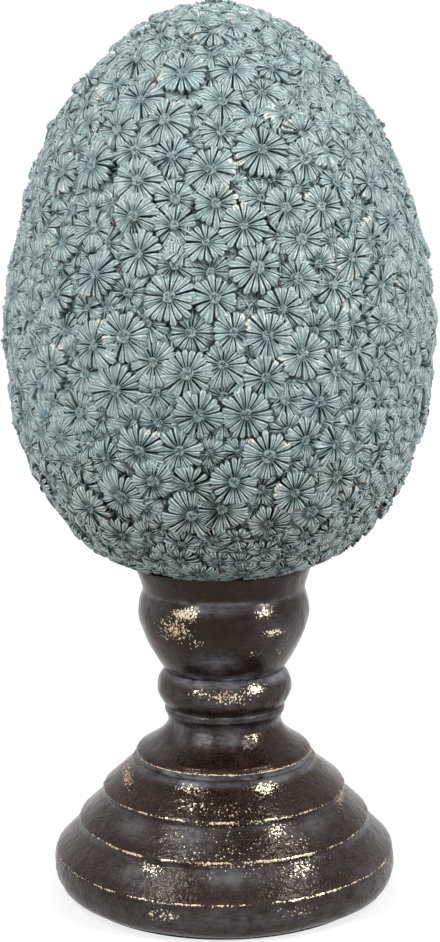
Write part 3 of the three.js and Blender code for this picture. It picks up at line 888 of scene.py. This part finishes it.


# Daisies seen in the photograph, listed by their height above the skin in millimetres. Each has its
# eye's place, in pixels across and down the photograph as read off it, and its radius in millimetres.

SEEN_DAISIES = {
    3.3: [
        (184, 74, 7.2), (261, 147, 7.9), (257, 266, 7.3), (134, 215, 7.2), (140, 178, 7.2),
        (167, 118, 7.1), (246, 415, 7.4), (116, 390, 7.7), (268, 335, 7.2), (244, 224, 6.6),
        (169, 296, 7.7), (187, 374, 7.2), (124, 336, 7.2), (95, 345, 7.4), (199, 416, 6.9),
        (234, 482, 7.0), (140, 451, 7.8), (96, 273, 7.2), (192, 515, 7.8), (223, 365, 6.8),
        (302, 354, 7.1), (57, 293, 6.4), (64, 240, 6.0), (351, 256, 6.4), (285, 206, 6.5),
        (154, 482, 7.0), (122, 497, 7.8), (268, 456, 7.0), (92, 508, 7.4), (294, 493, 6.7),
        (52, 367, 6.8), (62, 438, 6.3), (98, 162, 7.3), (14, 404, 6.5),
        (43, 484, 6.3),
    ],
    2.6: [
        (174, 154, 6.5), (211, 167, 7.2), (138, 147, 7.0), (302, 131, 6.3), (305, 156, 6.5),
        (222, 100, 6.2), (233, 70, 6.7), (174, 223, 6.4), (174, 263, 6.1), (215, 297, 6.5),
        (191, 332, 6.6), (234, 332, 6.3), (283, 308, 6.9), (298, 277, 6.4), (301, 237, 6.8),
        (333, 325, 6.6), (336, 371, 6.5), (320, 403, 7.3), (206, 240, 6.0), (94, 226, 6.4),
        (139, 252, 6.8), (156, 393, 5.6), (153, 362, 6.8), (84, 373, 5.8), (190, 487, 6.4),
        (222, 510, 7.5), (179, 452, 6.7), (106, 461, 6.5), (123, 536, 7.0), (268, 525, 6.4),
        (311, 512, 6.9), (337, 478, 6.6), (306, 441, 6.2), (335, 445, 6.3), (266, 378, 6.0),
        (372, 237, 6.5), (391, 217, 6.7), (382, 283, 6.0), (369, 180, 6.6), (66, 170, 6.9),
        (121, 127, 6.0), (216, 201, 6.5), (176, 197, 6.0), (321, 204, 6.4), (358, 350, 6.4),
        (408, 292, 6.3), (144, 97, 7.3), (323, 146, 6.5), (79, 413, 6.3),
        (178, 27, 6.5), (218, 18, 6.2),
    ],
    1.9: [
        (127, 291, 5.8), (210, 270, 6.0), (350, 293, 5.3), (333, 239, 5.2), (262, 195, 6.6),
        (194, 109, 5.5), (221, 128, 6.2), (299, 185, 5.2), (337, 179, 5.9), (354, 214, 5.0),
        (408, 255, 6.4), (409, 333, 6.4), (402, 404, 6.0), (404, 366, 6.0), (376, 430, 6.2),
        (369, 382, 5.7), (287, 401, 5.7), (158, 424, 6.0), (78, 469, 5.8), (48, 458, 6.5),
        (83, 488, 6.2), (53, 403, 5.5), (37, 385, 5.3), (89, 443, 5.5), (209, 455, 5.0),
        (240, 455, 4.6), (261, 492, 5.9), (309, 474, 5.5), (370, 468, 5.8), (395, 452, 6.2),
        (346, 506, 6.0), (375, 500, 5.8), (364, 520, 6.0), (328, 533, 5.8), (305, 537, 5.3),
        (148, 536, 5.8), (214, 540, 4.8), (182, 546, 5.7), (63, 330, 5.8), (86, 307, 4.8),
        (58, 264, 5.6), (44, 225, 6.5), (33, 258, 6.2), (114, 199, 5.5), (93, 206, 5.5),
        (72, 207, 5.3), (33, 200, 6.4), (60, 192, 4.8), (147, 323, 6.0), (42, 327, 6.0),
        (93, 119, 5.4), (72, 112, 6.0), (78, 128, 4.8), (57, 137, 5.0), (44, 157, 5.2),
        (121, 82, 6.2), (140, 57, 7.4), (213, 52, 6.2), (253, 33, 6.0),
        (186, 46, 5.3), (272, 65, 5.5), (262, 89, 5.7),
        (295, 96, 5.7), (317, 66, 6.5), (304, 48, 5.2), (275, 24, 5.5), (333, 95, 5.5),
        (328, 121, 5.0), (352, 106, 5.8), (353, 131, 6.0), (386, 158, 6.0), (398, 189, 5.6),
        (264, 552, 4.8), (237, 540, 4.4), (243, 553, 5.4), (218, 562, 5.2), (292, 552, 4.5),
        (318, 555, 5.0), (348, 536, 5.0), (98, 538, 5.0), (128, 556, 5.0),
    ],
}

# Where cream and bronze are rubbed on the petals of the front, in pixels across and down the photograph

RUBBED_SPOTS = [
    (104, 92), (132, 38), (193, 23), (234, 26), (160, 78), (203, 38), (176, 109), (235, 112),
    (312, 101), (274, 113), (285, 123), (300, 200), (229, 165), (228, 187), (243, 205), (195, 167),
    (97, 134), (73, 145), (58, 197), (114, 203), (114, 226), (53, 240), (57, 254), (22, 253),
    (44, 307), (70, 299), (89, 293), (103, 327), (105, 347), (282, 218), (362, 205), (366, 219),
    (338, 248), (337, 265), (353, 277), (395, 287), (345, 305), (402, 170), (292, 340), (283, 355),
    (248, 321), (244, 434), (112, 450), (155, 437), (202, 504), (173, 523), (208, 532), (150, 528),
    (360, 483), (57, 348), (104, 512), (276, 491), (286, 510), (287, 420), (296, 440), (373, 440),
]

# Spirals of further daisies: their pitch, their least distance from earlier ones, where their turn
# starts, and their least and greatest radius and height

SPIRALS = [
    {"pitch": 13.0, "distance": 10.4, "turn": 0.0, "radii": (6.0, 7.8), "heights": (1.9, 3.3)},
    {"pitch": 7.4, "distance": 6.0, "turn": 1.3, "radii": (5.6, 7.0), "heights": (1.3, 2.1)},
    {"pitch": 5.6, "distance": 4.3, "turn": 2.1, "radii": (5.2, 6.6), "heights": (0.8, 1.4)},
]
RAY_STEPS = (480, 700, 0.5)
SEEN_ABOVE = 2.5
SEEN_SCALE = 1.07
SEEN_LIFTS = (-0.25, 0.1)
CROWN_LIFT = 1.3
CROWN_LEVELS = (278, 291)
RIM_DAISIES = 17
RIM_DAISY_RADIUS = 7.6
RIM_DAISY_ABOVE = 5.2
RIM_DAISY_HEIGHTS = (2.0, 2.3, 2.6)
SPIRAL_ABOVE = 2
SPIRAL_SWAY = 0.04
GOLDEN_ANGLE = math.pi * (3 - math.sqrt(5))


def seen_place(across, down):
    """Where the camera's line through a pixel of the photograph meets the daisies, in millimetres."""
    scale = SENSOR / CAMERA_LENS / PHOTO_HEIGHT
    ray = Vector(((across - PHOTO_WIDTH / 2) * scale, (PHOTO_HEIGHT / 2 - down) * scale, -1))
    ray = np.array(camera_turn.to_3x3() @ ray.normalized())
    points = np.array(CAMERA_PLACE) / MM + np.arange(*RAY_STEPS)[:, None] * ray
    above = from_axis(points) - skin_radius(points[:, 2]) - SEEN_ABOVE
    inside = np.flatnonzero(above < 0)
    return points[inside[0] if len(inside) else above.argmin()]


def seen_daisies():
    daisies = []
    for height, listed in SEEN_DAISIES.items():
        for across, down, radius in listed:
            middle = seen_place(across, down)
            daisies.append({"middle": middle, "radius": SEEN_SCALE * radius, "height": height})
    return daisies


def rim_daisies():
    """Daisies just above the collar, whose petals hang over its edge all round."""
    daisies = []
    level = cup_rim + RIM_DAISY_ABOVE
    ring = skin_radius(np.array(level))
    for index in range(RIM_DAISIES):
        azimuth = 2 * math.pi * (index + 0.5) / RIM_DAISIES
        middle = np.array([ring * math.sin(azimuth), -ring * math.cos(azimuth), level])
        height = RIM_DAISY_HEIGHTS[index % len(RIM_DAISY_HEIGHTS)]
        daisies.append({"middle": middle, "radius": RIM_DAISY_RADIUS, "height": height})
    return daisies


def spiral_daisies(random, earlier, pitch, distance, turn, radii, heights):
    """Daisies in an even spiral over the skin, left out where they lie too close to earlier ones."""
    kept = egg_level + meridian_level > cup_rim + SPIRAL_ABOVE
    radius = meridian_radius[kept][::-1]
    level = meridian_level[kept][::-1]
    rings = math.pi * (radius[1:] + radius[:-1]) * np.hypot(np.diff(radius), np.diff(level))
    area = np.append(0, np.cumsum(rings))
    count = round(area[-1] / (pitch**2 * math.sin(math.pi / 3)))
    taken = np.array([daisy["middle"] for daisy in earlier])
    daisies = []
    for index in range(count):
        here = area[-1] * (index + 0.5) / count
        ring = np.interp(here, area, radius)
        azimuth = turn + index * GOLDEN_ANGLE + random.uniform(-SPIRAL_SWAY, SPIRAL_SWAY)
        height = egg_level + np.interp(here, area, level)
        middle = np.array([ring * math.cos(azimuth), ring * math.sin(azimuth), height])
        size = random.uniform(*radii)
        lifted = random.uniform(*heights) + CROWN_LIFT * smooth_step(height, *CROWN_LEVELS)
        if np.linalg.norm(taken - middle, axis=1).min() > distance:
            daisies.append({"middle": middle, "radius": size, "height": lifted})
    return daisies


def place_daisies():
    """Every daisy, the highest first."""
    random = np.random.default_rng(5)
    daisies = seen_daisies()
    for daisy in daisies:
        daisy["middle"] = skin_towards(daisy["middle"])[0]
        daisy["height"] += random.uniform(*SEEN_LIFTS)
    daisies += rim_daisies()
    for spiral in SPIRALS:
        daisies += spiral_daisies(random, daisies, **spiral)
    return sorted(daisies, key=lambda daisy: -daisy["height"])


# Shape of a daisy. Stations run along a petal from its root to its tip, and places across it.

STATIONS = np.array([0.0, 0.2, 0.45, 0.7, 0.88, 0.97, 1.0, 1.0])
HIDING_ROWS = [1, 3, 4, 6]
ACROSS = np.array([-1.0, -1.0, -0.7, 0.0, 0.7, 1.0, 1.0])
RIDGE = 0.7
PETAL_ROOT = 0.7
PETAL_LENGTHS = (0.85, 1.1)
PETAL_FILLS = (0.84, 1.06)
PETAL_LIFT = 0.3
PETAL_ROLL = 0.36
PETAL_SWAY = 0.17
BLUNTNESS_VARIES = 0.08
PETAL_FILL = 0.99
ROOT_NARROWING = 0.28
TIP_WIDTH = 0.16
EDGE_DROP = 0.5
GROOVE_DROP = 0.34
GROOVE_FROM = 0.35
BASE_DROP = 0.55
TIP_DROP = 0.5
TIP_SPREAD = 0.35
SUNK = -0.3
EYE_SIDES = 15
EYE_RINGS = np.array([1.08, 1.0, 0.76, 0.5, 0.24])
EYE_HEIGHTS = np.array([0.0, -0.35, -0.12, -0.2, -0.3])
EYE_LIFTS = np.array([0.0, 0.42, 0.68, 0.64, 0.56])
EYE_GRAIN = 0.36
EYE_GRAIN_LIFT = 1.2
COVER_REACH = 1.4
HIDING_REACH = 0.84
HIDING_STEP = 0.45
SHADE_STEP = 0.1
SHADE_RISE = 1.1
SHADE_MOST = 0.5
SHADE_REACH = (0.95, 1.18)
# Painted shade towards the egg's lower end, deeper in the crevices, with painted highlight on the crests
# there.
LOW_FROM = (10, 65)
BASE_SHADE = 0.25
BASE_CREST_HIGHLIGHT = 0.8
BASE_CONTRAST = 1.6
ROOT_WALL_LIFT = 0.36
TIP_WALL_LIFT = 0.04
WALL_STATIONS = (0.35, 0.95)

# Lift and crest of a petal's top, and the stations that they change between. Low lift paints crevices dark
# as wash and painted shade; crest paints ridges pale as wear and painted highlight.

ROOT_LIFT = 0.68
ROOT_STATIONS = (0.05, 0.4)
EDGE_DARK = 0.62
TIP_EDGE_PALER = 0.1
TIP_STATIONS = (0.5, 0.95)
GROOVE_DARK = 0.3
TIP_LIFT = 0.85
CREST_STATIONS = (0.1, 0.5)
BETWEEN_CREST = 0.1
TIP_CREST = 0.3

PETAL_ROWS = len(STATIONS)
PETAL_COLUMNS = len(ACROSS)
MIDDLE_COLUMN = PETAL_COLUMNS // 2
TIP_ROW = PETAL_ROWS - 2
petal_skirt = np.zeros((PETAL_ROWS, PETAL_COLUMNS), bool)
petal_skirt[:, [0, -1]] = True
petal_skirt[-1] = True
petal_faces = grid_faces(PETAL_ROWS, PETAL_COLUMNS, False)[:, ::-1]
eye_faces = grid_faces(len(EYE_RINGS), EYE_SIDES, True)
eye_cap = np.arange(EYE_SIDES) + (len(EYE_RINGS) - 1) * EYE_SIDES


def unit_grid(rows, columns):
    high, wide = np.meshgrid(np.linspace(0.03, 0.97, rows), np.linspace(0.03, 0.97, columns), indexing="ij")
    return np.stack([wide, high], -1).reshape(-1, 2)


def unit_rings(sides, rings):
    angle = ring_angles(sides)
    circle = np.stack([np.cos(angle), np.sin(angle)], -1)
    return (0.5 + 0.45 * rings[:, None, None] * circle).reshape(-1, 2)


PETAL = {
    "faces": petal_faces.tolist(),
    "places": unit_grid(PETAL_ROWS, PETAL_COLUMNS),
}
EYE = {
    "faces": eye_faces.tolist() + [eye_cap.tolist()],
    "places": unit_rings(EYE_SIDES, EYE_RINGS),
}
for kind in (PETAL, EYE):
    kind["corners"] = np.concatenate(kind["faces"])


def petal_heights(count, random, daisy):
    """Heights above the daisy's plane, for each petal, station and place across."""
    station = STATIONS[None, :, None]
    across = ACROSS[None, None, :]
    droop = daisy["droop"] + random.uniform(-PETAL_LIFT, PETAL_LIFT, (count, 1, 1))
    roll = random.normal(0, PETAL_ROLL, (count, 1, 1))
    centre = -BASE_DROP * (1 - station) ** 3 - droop * station**3
    centre = centre - TIP_DROP * smooth_step(station, 0.86, 1.0)
    edge = -EDGE_DROP * smooth_step(np.abs(across), RIDGE, 1.0)
    groove = -GROOVE_DROP * (1 - smooth_step(np.abs(across), 0.0, RIDGE))
    groove = groove * smooth_step(station, 0.0, GROOVE_FROM)
    return centre + edge + groove + roll * across + random.uniform(-PETAL_LIFT, PETAL_LIFT, (count, 1, 1))


def petal_widths(count, random, reach, bluntness):
    """Half widths in millimetres, for each petal and station, at distances from the eye of reach."""
    blunt = bluntness + random.uniform(-BLUNTNESS_VARIES, BLUNTNESS_VARIES, (count, 1))
    past = np.clip((STATIONS - blunt) / (1 - blunt), 0, 1)
    rounding = np.sqrt(np.clip(1 - past**4, TIP_WIDTH, 1))
    fill = PETAL_FILL * random.uniform(*PETAL_FILLS, (count, 1))
    fill = fill * (1 - ROOT_NARROWING * (1 - STATIONS) ** 1.5)
    return reach * math.tan(math.pi / count) * fill * rounding


def petal_points(daisy, random):
    """Points of every petal, as across, up and height from the daisy's middle."""
    count = daisy["petals"]
    root = PETAL_ROOT * daisy["radius"] * daisy["eye"]
    length = daisy["radius"] * random.uniform(*PETAL_LENGTHS, (count, 1))
    reach = root + (length - root) * STATIONS[None, :]
    half = petal_widths(count, random, reach, daisy["bluntness"])
    reach[:, -1] += TIP_SPREAD
    sway = random.uniform(-PETAL_SWAY, PETAL_SWAY, count)
    angle = daisy["turn"] + (np.arange(count) + sway) * 2 * math.pi / count
    side = half[:, :, None] * ACROSS[None, None, :]
    along = np.broadcast_to(reach[:, :, None], side.shape)
    cos = np.cos(angle)[:, None, None]
    sin = np.sin(angle)[:, None, None]
    height = petal_heights(count, random, daisy)
    return np.stack([cos * along - sin * side, sin * along + cos * side, height], -1)


def eye_points(daisy, random):
    """Points of the daisy's granular eye, from its sunken edge to the ring round its middle."""
    angle = daisy["turn"] + ring_angles(EYE_SIDES)
    ring = EYE_RINGS[:, None] * daisy["radius"] * daisy["eye"]
    grain = EYE_GRAIN * random.choice((-1.0, -0.6, 0.4, 0.9), (len(EYE_RINGS), EYE_SIDES))
    grain[0] = 0
    height = EYE_HEIGHTS[:, None] + grain
    points = np.stack([ring * np.cos(angle), ring * np.sin(angle), height], -1)
    lift = np.clip(EYE_LIFTS[:, None] + EYE_GRAIN_LIFT * grain, 0, 1)
    return points, lift


def on_egg(daisy, flat):
    """Points given as across, up and height above a daisy's plane, laid on the egg."""
    around = np.array([-daisy["middle"][1], daisy["middle"][0], 0.0])
    around /= np.linalg.norm(around)
    up = np.cross(daisy["normal"], around)
    towards = daisy["middle"] + flat[..., :1] * around + flat[..., 1:2] * up
    place, normal = skin_towards(towards)
    return fuller(place + normal * flat[..., 2:])


def covering(daisy, spots, higher):
    """For each spot and higher daisy near it, the share of the spot's distance to its petals' tips."""
    apart = np.linalg.norm(higher["middle"] - daisy["middle"], axis=1)
    near = apart < daisy["radius"] + COVER_REACH * higher["radius"]
    gaps = np.linalg.norm(spots[..., None, :] - higher["middle"][near], axis=-1)
    return gaps / higher["radius"][near], higher["height"][near]


def how_low(spots):
    """0 down to a little below the egg's widest level, and 1 near its lower end."""
    return smooth_step(egg_level - spots[..., 2], *LOW_FROM)


def open_share(daisy, spots, above, higher):
    """How open to the light each spot is, painted in as shade: from 1 down to where higher daisies stand
    close over it, and lower towards the egg's lower end.
    """
    reach, height = covering(daisy, spots, higher)
    step = np.clip((height - above[..., None] - SHADE_STEP) / SHADE_RISE, 0, 1)
    shade = SHADE_MOST * step * (1 - smooth_step(reach, *SHADE_REACH))
    return np.prod(1 - shade, axis=-1) * (1 - BASE_SHADE * how_low(spots))


def is_hidden(daisy, spots, higher):
    """Whether every one of the spots lies well under a higher daisy."""
    reach, height = covering(daisy, spots, higher)
    return bool(((reach < HIDING_REACH) & (height > daisy["height"] + HIDING_STEP)).any(1).all())


def petal_values():
    """How far each point of a petal is out of its crevices, and how proud its crests are."""
    station = np.broadcast_to(STATIONS[:, None], (PETAL_ROWS, PETAL_COLUMNS))
    across = np.abs(ACROSS)[None, :]
    ridge = (across > 0) & (across < 1)
    lift = ROOT_LIFT + (1 - ROOT_LIFT) * smooth_step(station, *ROOT_STATIONS)
    edge = EDGE_DARK - TIP_EDGE_PALER * smooth_step(station, *TIP_STATIONS)
    lift = lift - edge * (across == 1) - GROOVE_DARK * (across == 0)
    lift[TIP_ROW] *= TIP_LIFT
    crest = np.where(ridge, smooth_step(station, *CREST_STATIONS), BETWEEN_CREST)
    crest[TIP_ROW] = TIP_CREST
    wall = ROOT_WALL_LIFT + (TIP_WALL_LIFT - ROOT_WALL_LIFT) * smooth_step(station, *WALL_STATIONS)
    return np.where(petal_skirt, wall, lift), np.where(petal_skirt, 0.0, crest)


petal_lift, petal_crest = petal_values()
petal_tip = np.where(petal_skirt, 0.0, smooth_step(STATIONS[:, None], 0.5, 0.9) * (0.4 + 0.6 * petal_crest))
RUBBED_REACH = 3.4


def tilted(daisy, flat):
    tilt = daisy["tilt"]
    return flat[..., 2] + daisy["height"] + flat[..., 0] * tilt[0] + flat[..., 1] * tilt[1]


def daisy_parts(daisy, random, higher, rubbed_spots):
    """Points, kind and values of the petals and the eye of a daisy, without what is hidden."""
    flat = petal_points(daisy, random)
    flat[..., 2] = np.maximum(tilted(daisy, flat), 0.35)
    above = flat[..., 2].copy()
    flat[:, petal_skirt, 2] = SUNK
    placed = on_egg(daisy, flat)
    openness = open_share(daisy, placed, above, higher)
    parts = []
    low = how_low(placed)
    for petal in range(daisy["petals"]):
        if is_hidden(daisy, placed[petal, HIDING_ROWS, MIDDLE_COLUMN], higher):
            continue
        tip = placed[petal, TIP_ROW, MIDDLE_COLUMN]
        close = np.linalg.norm(rubbed_spots - tip, axis=1).min() < RUBBED_REACH
        rubbed = max(float(close), daisy["rubbed"]) * random.uniform(0.35, 1.0)
        rubbed *= openness[petal, TIP_ROW, MIDDLE_COLUMN] > 0.7
        # Painted shade: lift darkens under higher daisies and, in the crevices, towards the lower end; the
        # crest pales there as painted highlight.
        values = {
            "lift": petal_lift ** (1 + BASE_CONTRAST * low[petal]) * openness[petal],
            "crest": petal_crest * openness[petal] * (1 + BASE_CREST_HIGHLIGHT * low[petal]),
            "rubbed": petal_tip * rubbed,
        }
        parts.append((placed[petal].reshape(-1, 3), PETAL, values))
    flat, lift = eye_points(daisy, random)
    flat[..., 2] = tilted(daisy, flat)
    above = flat[..., 2].copy()
    flat[0, :, 2] = SUNK
    placed = on_egg(daisy, flat)
    if not is_hidden(daisy, placed[-1, :1], higher):
        # Painted shade on the eye under higher daisies.
        lift = lift * open_share(daisy, placed, above, higher)
        values = {"lift": lift, "crest": 0.5 * lift, "rubbed": np.zeros_like(lift)}
        parts.append((placed.reshape(-1, 3), EYE, values))
    return parts


PETALS_PER_MM = 2.5
PETALS_MORE = (-1.5, 2)
EYE_SHARES = (0.2, 0.3)
BLUNTNESSES = (0.64, 0.82)
DAISY_TILT = 0.09
DROOPS = (-0.25, 1.1)
RUBBED_BEHIND = 0.12
RUBBED_LEVELS = (0.4, 1.0)


def finish_daisies(daisies):
    """Gives each daisy its normal, turn, petals, tilt, droop and other small differences."""
    random = np.random.default_rng(17)
    for daisy in daisies:
        daisy["middle"], daisy["normal"] = skin_towards(daisy["middle"])
        daisy["turn"] = random.uniform(0, 2 * math.pi)
        daisy["petals"] = round(PETALS_PER_MM * daisy["radius"] + random.uniform(*PETALS_MORE))
        daisy["eye"] = random.uniform(*EYE_SHARES)
        daisy["bluntness"] = random.uniform(*BLUNTNESSES)
        daisy["tilt"] = random.normal(0, DAISY_TILT, 2)
        daisy["droop"] = random.uniform(*DROOPS)
        daisy["tone"] = random.uniform(0, 1)
        behind = daisy["middle"][1] > 0
        daisy["rubbed"] = float(random.uniform() < RUBBED_BEHIND * behind) * random.uniform(*RUBBED_LEVELS)


# Daisies are kept in bands, so that no mesh is very large. These are the bands' lowest levels.

BAND_LEVELS = [283, 268, 252, 236, 220, 205, 190, 175, 160, 145, 130, 0]

# How the lowest petals drape over the collar, in millimetres

DRAPE_ABOVE = 2.5
DRAPE_OUT = 0.45
DRAPE_MORE_OUT = 0.35
DRAPE_BELOW = 0.1
DRAPE_SLOPE = 0.45
DRAPE_HANG = 0.15


def drape_over_collar(points):
    """Moves what lies inside the collar out over its edge, and lets it hang only a little."""
    radius = from_axis(points)
    low = smooth_step(cup_rim + DRAPE_ABOVE - points[:, 2], 0, DRAPE_ABOVE)
    wanted = np.maximum(radius, cup_rim_radius + DRAPE_OUT + DRAPE_MORE_OUT * (radius > cup_rim_radius))
    scale = 1 + low * (wanted / radius - 1)
    points[:, :2] *= scale[:, None]
    floor = cup_rim - DRAPE_BELOW + DRAPE_SLOPE * np.maximum(radius - cup_rim_radius - 1, 0)
    hung = floor + DRAPE_HANG * (points[:, 2] - floor)
    points[:, 2] = np.where(points[:, 2] < floor, hung, points[:, 2])


def build_band(name, parts):
    """One mesh of many petals and eyes, each with its own slot in a square bake map."""
    side = math.ceil(math.sqrt(len(parts)))
    points = []
    faces = []
    bake_map = []
    values = {"lift": [], "crest": [], "rubbed": [], "tone": []}
    start = 0
    for index, (part_points, kind, part_values, tone) in enumerate(parts):
        slot_corner = np.array([index % side, index // side])
        points.append(part_points)
        faces += [[corner + start for corner in face] for face in kind["faces"]]
        bake_map.append((slot_corner + kind["places"][kind["corners"]]) / side)
        for key, numbers in part_values.items():
            values[key].append(np.ravel(numbers))
        values["tone"].append(np.full(len(part_points), tone))
        start += len(part_points)
    points = np.concatenate(points)
    drape_over_collar(points)
    values = {key: np.concatenate(numbers) for key, numbers in values.items()}
    add_piece(name, points, faces, TEAL, "egg_shell", values, np.concatenate(bake_map))


def make_daisies():
    daisies = place_daisies()
    finish_daisies(daisies)
    random = np.random.default_rng(23)
    rubbed_spots = np.array([seen_place(*spot) for spot in RUBBED_SPOTS])
    table = {key: np.array([daisy[key] for daisy in daisies]) for key in ("middle", "radius", "height")}
    bands = {lowest: [] for lowest in BAND_LEVELS}
    for index, daisy in enumerate(daisies):
        higher = {key: numbers[:index] for key, numbers in table.items()}
        band = next(lowest for lowest in BAND_LEVELS if daisy["middle"][2] >= lowest)
        parts = daisy_parts(daisy, random, higher, rubbed_spots)
        bands[band] += [(*part, daisy["tone"]) for part in parts]
    for number, lowest in enumerate(BAND_LEVELS, 1):
        build_band(f"egg_daisies_band_{number}", bands[lowest])


# Lip of the egg that lies on the collar's rim

LIP_DEPTH = 2.4
LIP_GAP = 0.25
LIP_PROUD = 0.8
LIP_TOP = cup_rim + 1.7
LIP_REACH = 1.2
LIP_LIFT = 0.5
SKIN_LIFT = 0.36
SKIN_LIFT_VARIES = 0.14
SKIN_WAVES = 4


def egg_profile():
    """The shell's outline from the inside of its top, round the plug's hole, to the outside of it."""
    hole = levels_of("egg_base_plug")[2] - 3
    lowest = math.asin((egg_flat - egg_level) / EGG_LOWER_HEIGHT)
    angle = np.linspace(lowest, math.pi / 2, 100, endpoint=False)
    level = egg_level + np.where(angle >= 0, EGG_UPPER_HEIGHT, EGG_LOWER_HEIGHT) * np.sin(angle)
    outer = np.stack([skin_radius(level), level], 1)
    share = 1 - EGG_WALL / EGG_RADIUS
    inner = np.stack([outer[:, 0] * share, egg_level + (level - egg_level) * share], 1)
    inner = inner[inner[:, 1] > egg_flat + EGG_WALL]
    floor = egg_flat + EGG_WALL
    sunk = outer[outer[:, 1] < cup_rim]
    above = outer[outer[:, 1] > LIP_TOP]
    lip_root = (cup_rim_radius - LIP_DEPTH, cup_rim + LIP_GAP)
    lip = quarter_round(lip_root, (cup_rim_radius + LIP_PROUD, LIP_TOP))
    return np.concatenate([inner[::-1], [(hole, floor), (hole, egg_flat)], sunk, lip, above])


def make_egg_body():
    """The egg's wall under its daisies, open at its lower end for the plug."""
    profile = egg_profile()
    points = fuller(ring_points(profile, EGG_SIDES).reshape(-1, 3))
    faces = capped_faces(len(profile), EGG_SIDES)
    row_places = np.linspace(0.02, 0.98, len(profile))
    bake_map = grid_map(len(profile), EGG_SIDES, row_places).reshape(-1, 2)
    share = np.arange(EGG_SIDES) / EGG_SIDES
    inner_places = np.stack([share[::-1], np.full(EGG_SIDES, row_places[0])], 1)
    outer_places = np.stack([share, np.full(EGG_SIDES, row_places[-1])], 1)
    bake_map = np.concatenate([bake_map, inner_places, outer_places])
    # The skin's lift paints it dark between the daisies, as wash and painted shade, and the lip a little
    # paler.
    on_lip = np.abs(points[:, 2] - LIP_TOP) < LIP_REACH
    lift = np.where(on_lip, LIP_LIFT, SKIN_LIFT + SKIN_LIFT_VARIES * waves(points, SKIN_WAVES, 91))
    add_piece("egg_body", points, faces, TEAL, "egg_shell", {"lift": lift}, bake_map)


make_egg_body()
make_daisies()


# Felt under the foot

FELT_SIDES = 144
FELT_ROUNDING = 0.2


def make_felt():
    bottom, top, radius = levels_of("felt_base")
    inside = radius - FELT_ROUNDING
    side = [(radius, bottom + FELT_ROUNDING), (radius, top - FELT_ROUNDING)]
    profile = np.array([(inside, bottom), *side, (inside, top)])
    points = ring_points(profile, FELT_SIDES).reshape(-1, 3)
    faces = capped_faces(len(profile), FELT_SIDES)
    flat = points[:, :2] / (2.2 * radius) + 0.5
    bake_map = np.concatenate([flat[face] for face in faces])
    add_piece("felt_disc", points, faces, FELT, "felt_base", {}, bake_map)


make_felt()


# Hardware inside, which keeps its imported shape

ZINC = metal_material("zinc_plate", (0.5, 0.51, 0.53), (0.66, 0.67, 0.69), 0.35)
BRASS = metal_material("turned_brass", (0.55, 0.4, 0.16), (0.7, 0.53, 0.25), 0.3)
KEPT_NODES = {
    "tie_rod": ZINC,
    "rod_washer": ZINC,
    "lock_washer": ZINC,
    "rod_nut": ZINC,
    "threaded_insert": BRASS,
    "base_cover": hardboard_material(),
    "egg_base_plug": raw_resin_material(),
}
for node_name, node_material in KEPT_NODES.items():
    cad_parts[node_name].material_slots[0].material = node_material


# Floor and surroundings. What the camera sees of them is white, apart from the object's shadow.

FLOOR_HALF = 6.0
FLOOR_GREY = 0.4
FLOOR_GLOW = 0.72
FLOOR_FAR_GLOW = 0.2
FLOOR_FAR_FROM = 0.2
FLOOR_FAR_TO = 1.1


def seen_directly(tree):
    """1 for the camera's rays and for mirrored and refracted ones, and 0 for light on the object."""
    path = tree.nodes.new("ShaderNodeLightPath")
    seen = plus(tree, path.outputs["Is Camera Ray"], path.outputs["Is Glossy Ray"])
    return plus(tree, seen, path.outputs["Is Transmission Ray"], clamp=True)


def floor_material():
    material, tree = new_material("floor")
    distance = add_node(tree, "ShaderNodeVectorMath", {0: places(tree)}, operation="LENGTH")
    far = ramp(tree, distance.outputs["Value"], low=FLOOR_FAR_FROM, high=FLOOR_FAR_TO)
    glow = plus(tree, FLOOR_GLOW, times(tree, far, FLOOR_FAR_GLOW))
    set_surface(tree, {
        "Base Color": (FLOOR_GREY, FLOOR_GREY, FLOOR_GREY),
        "Roughness": 1.0,
        "Specular IOR Level": 0.0,
        "Emission Color": WHITE,
        "Emission Strength": times(tree, seen_directly(tree), glow),
    })
    return material


def add_floor():
    half = FLOOR_HALF
    mesh = bpy.data.meshes.new("floor")
    corners = [(-half, -half, 0), (half, -half, 0), (half, half, 0), (-half, half, 0)]
    mesh.from_pydata(corners, [], [(0, 1, 2, 3)])
    mesh.materials.append(floor_material())
    add_object("floor", mesh)


def set_world():
    world = bpy.data.worlds.new("studio")
    world.use_nodes = True
    bpy.context.scene.world = world
    tree = world.node_tree
    strength = plus(tree, WORLD_GREY, times(tree, seen_directly(tree), 1 - WORLD_GREY))
    set_inputs(tree, tree.nodes["Background"], {"Color": WHITE, "Strength": strength})


add_floor()
set_world()
bpy.context.scene.view_settings.view_transform = "Standard"

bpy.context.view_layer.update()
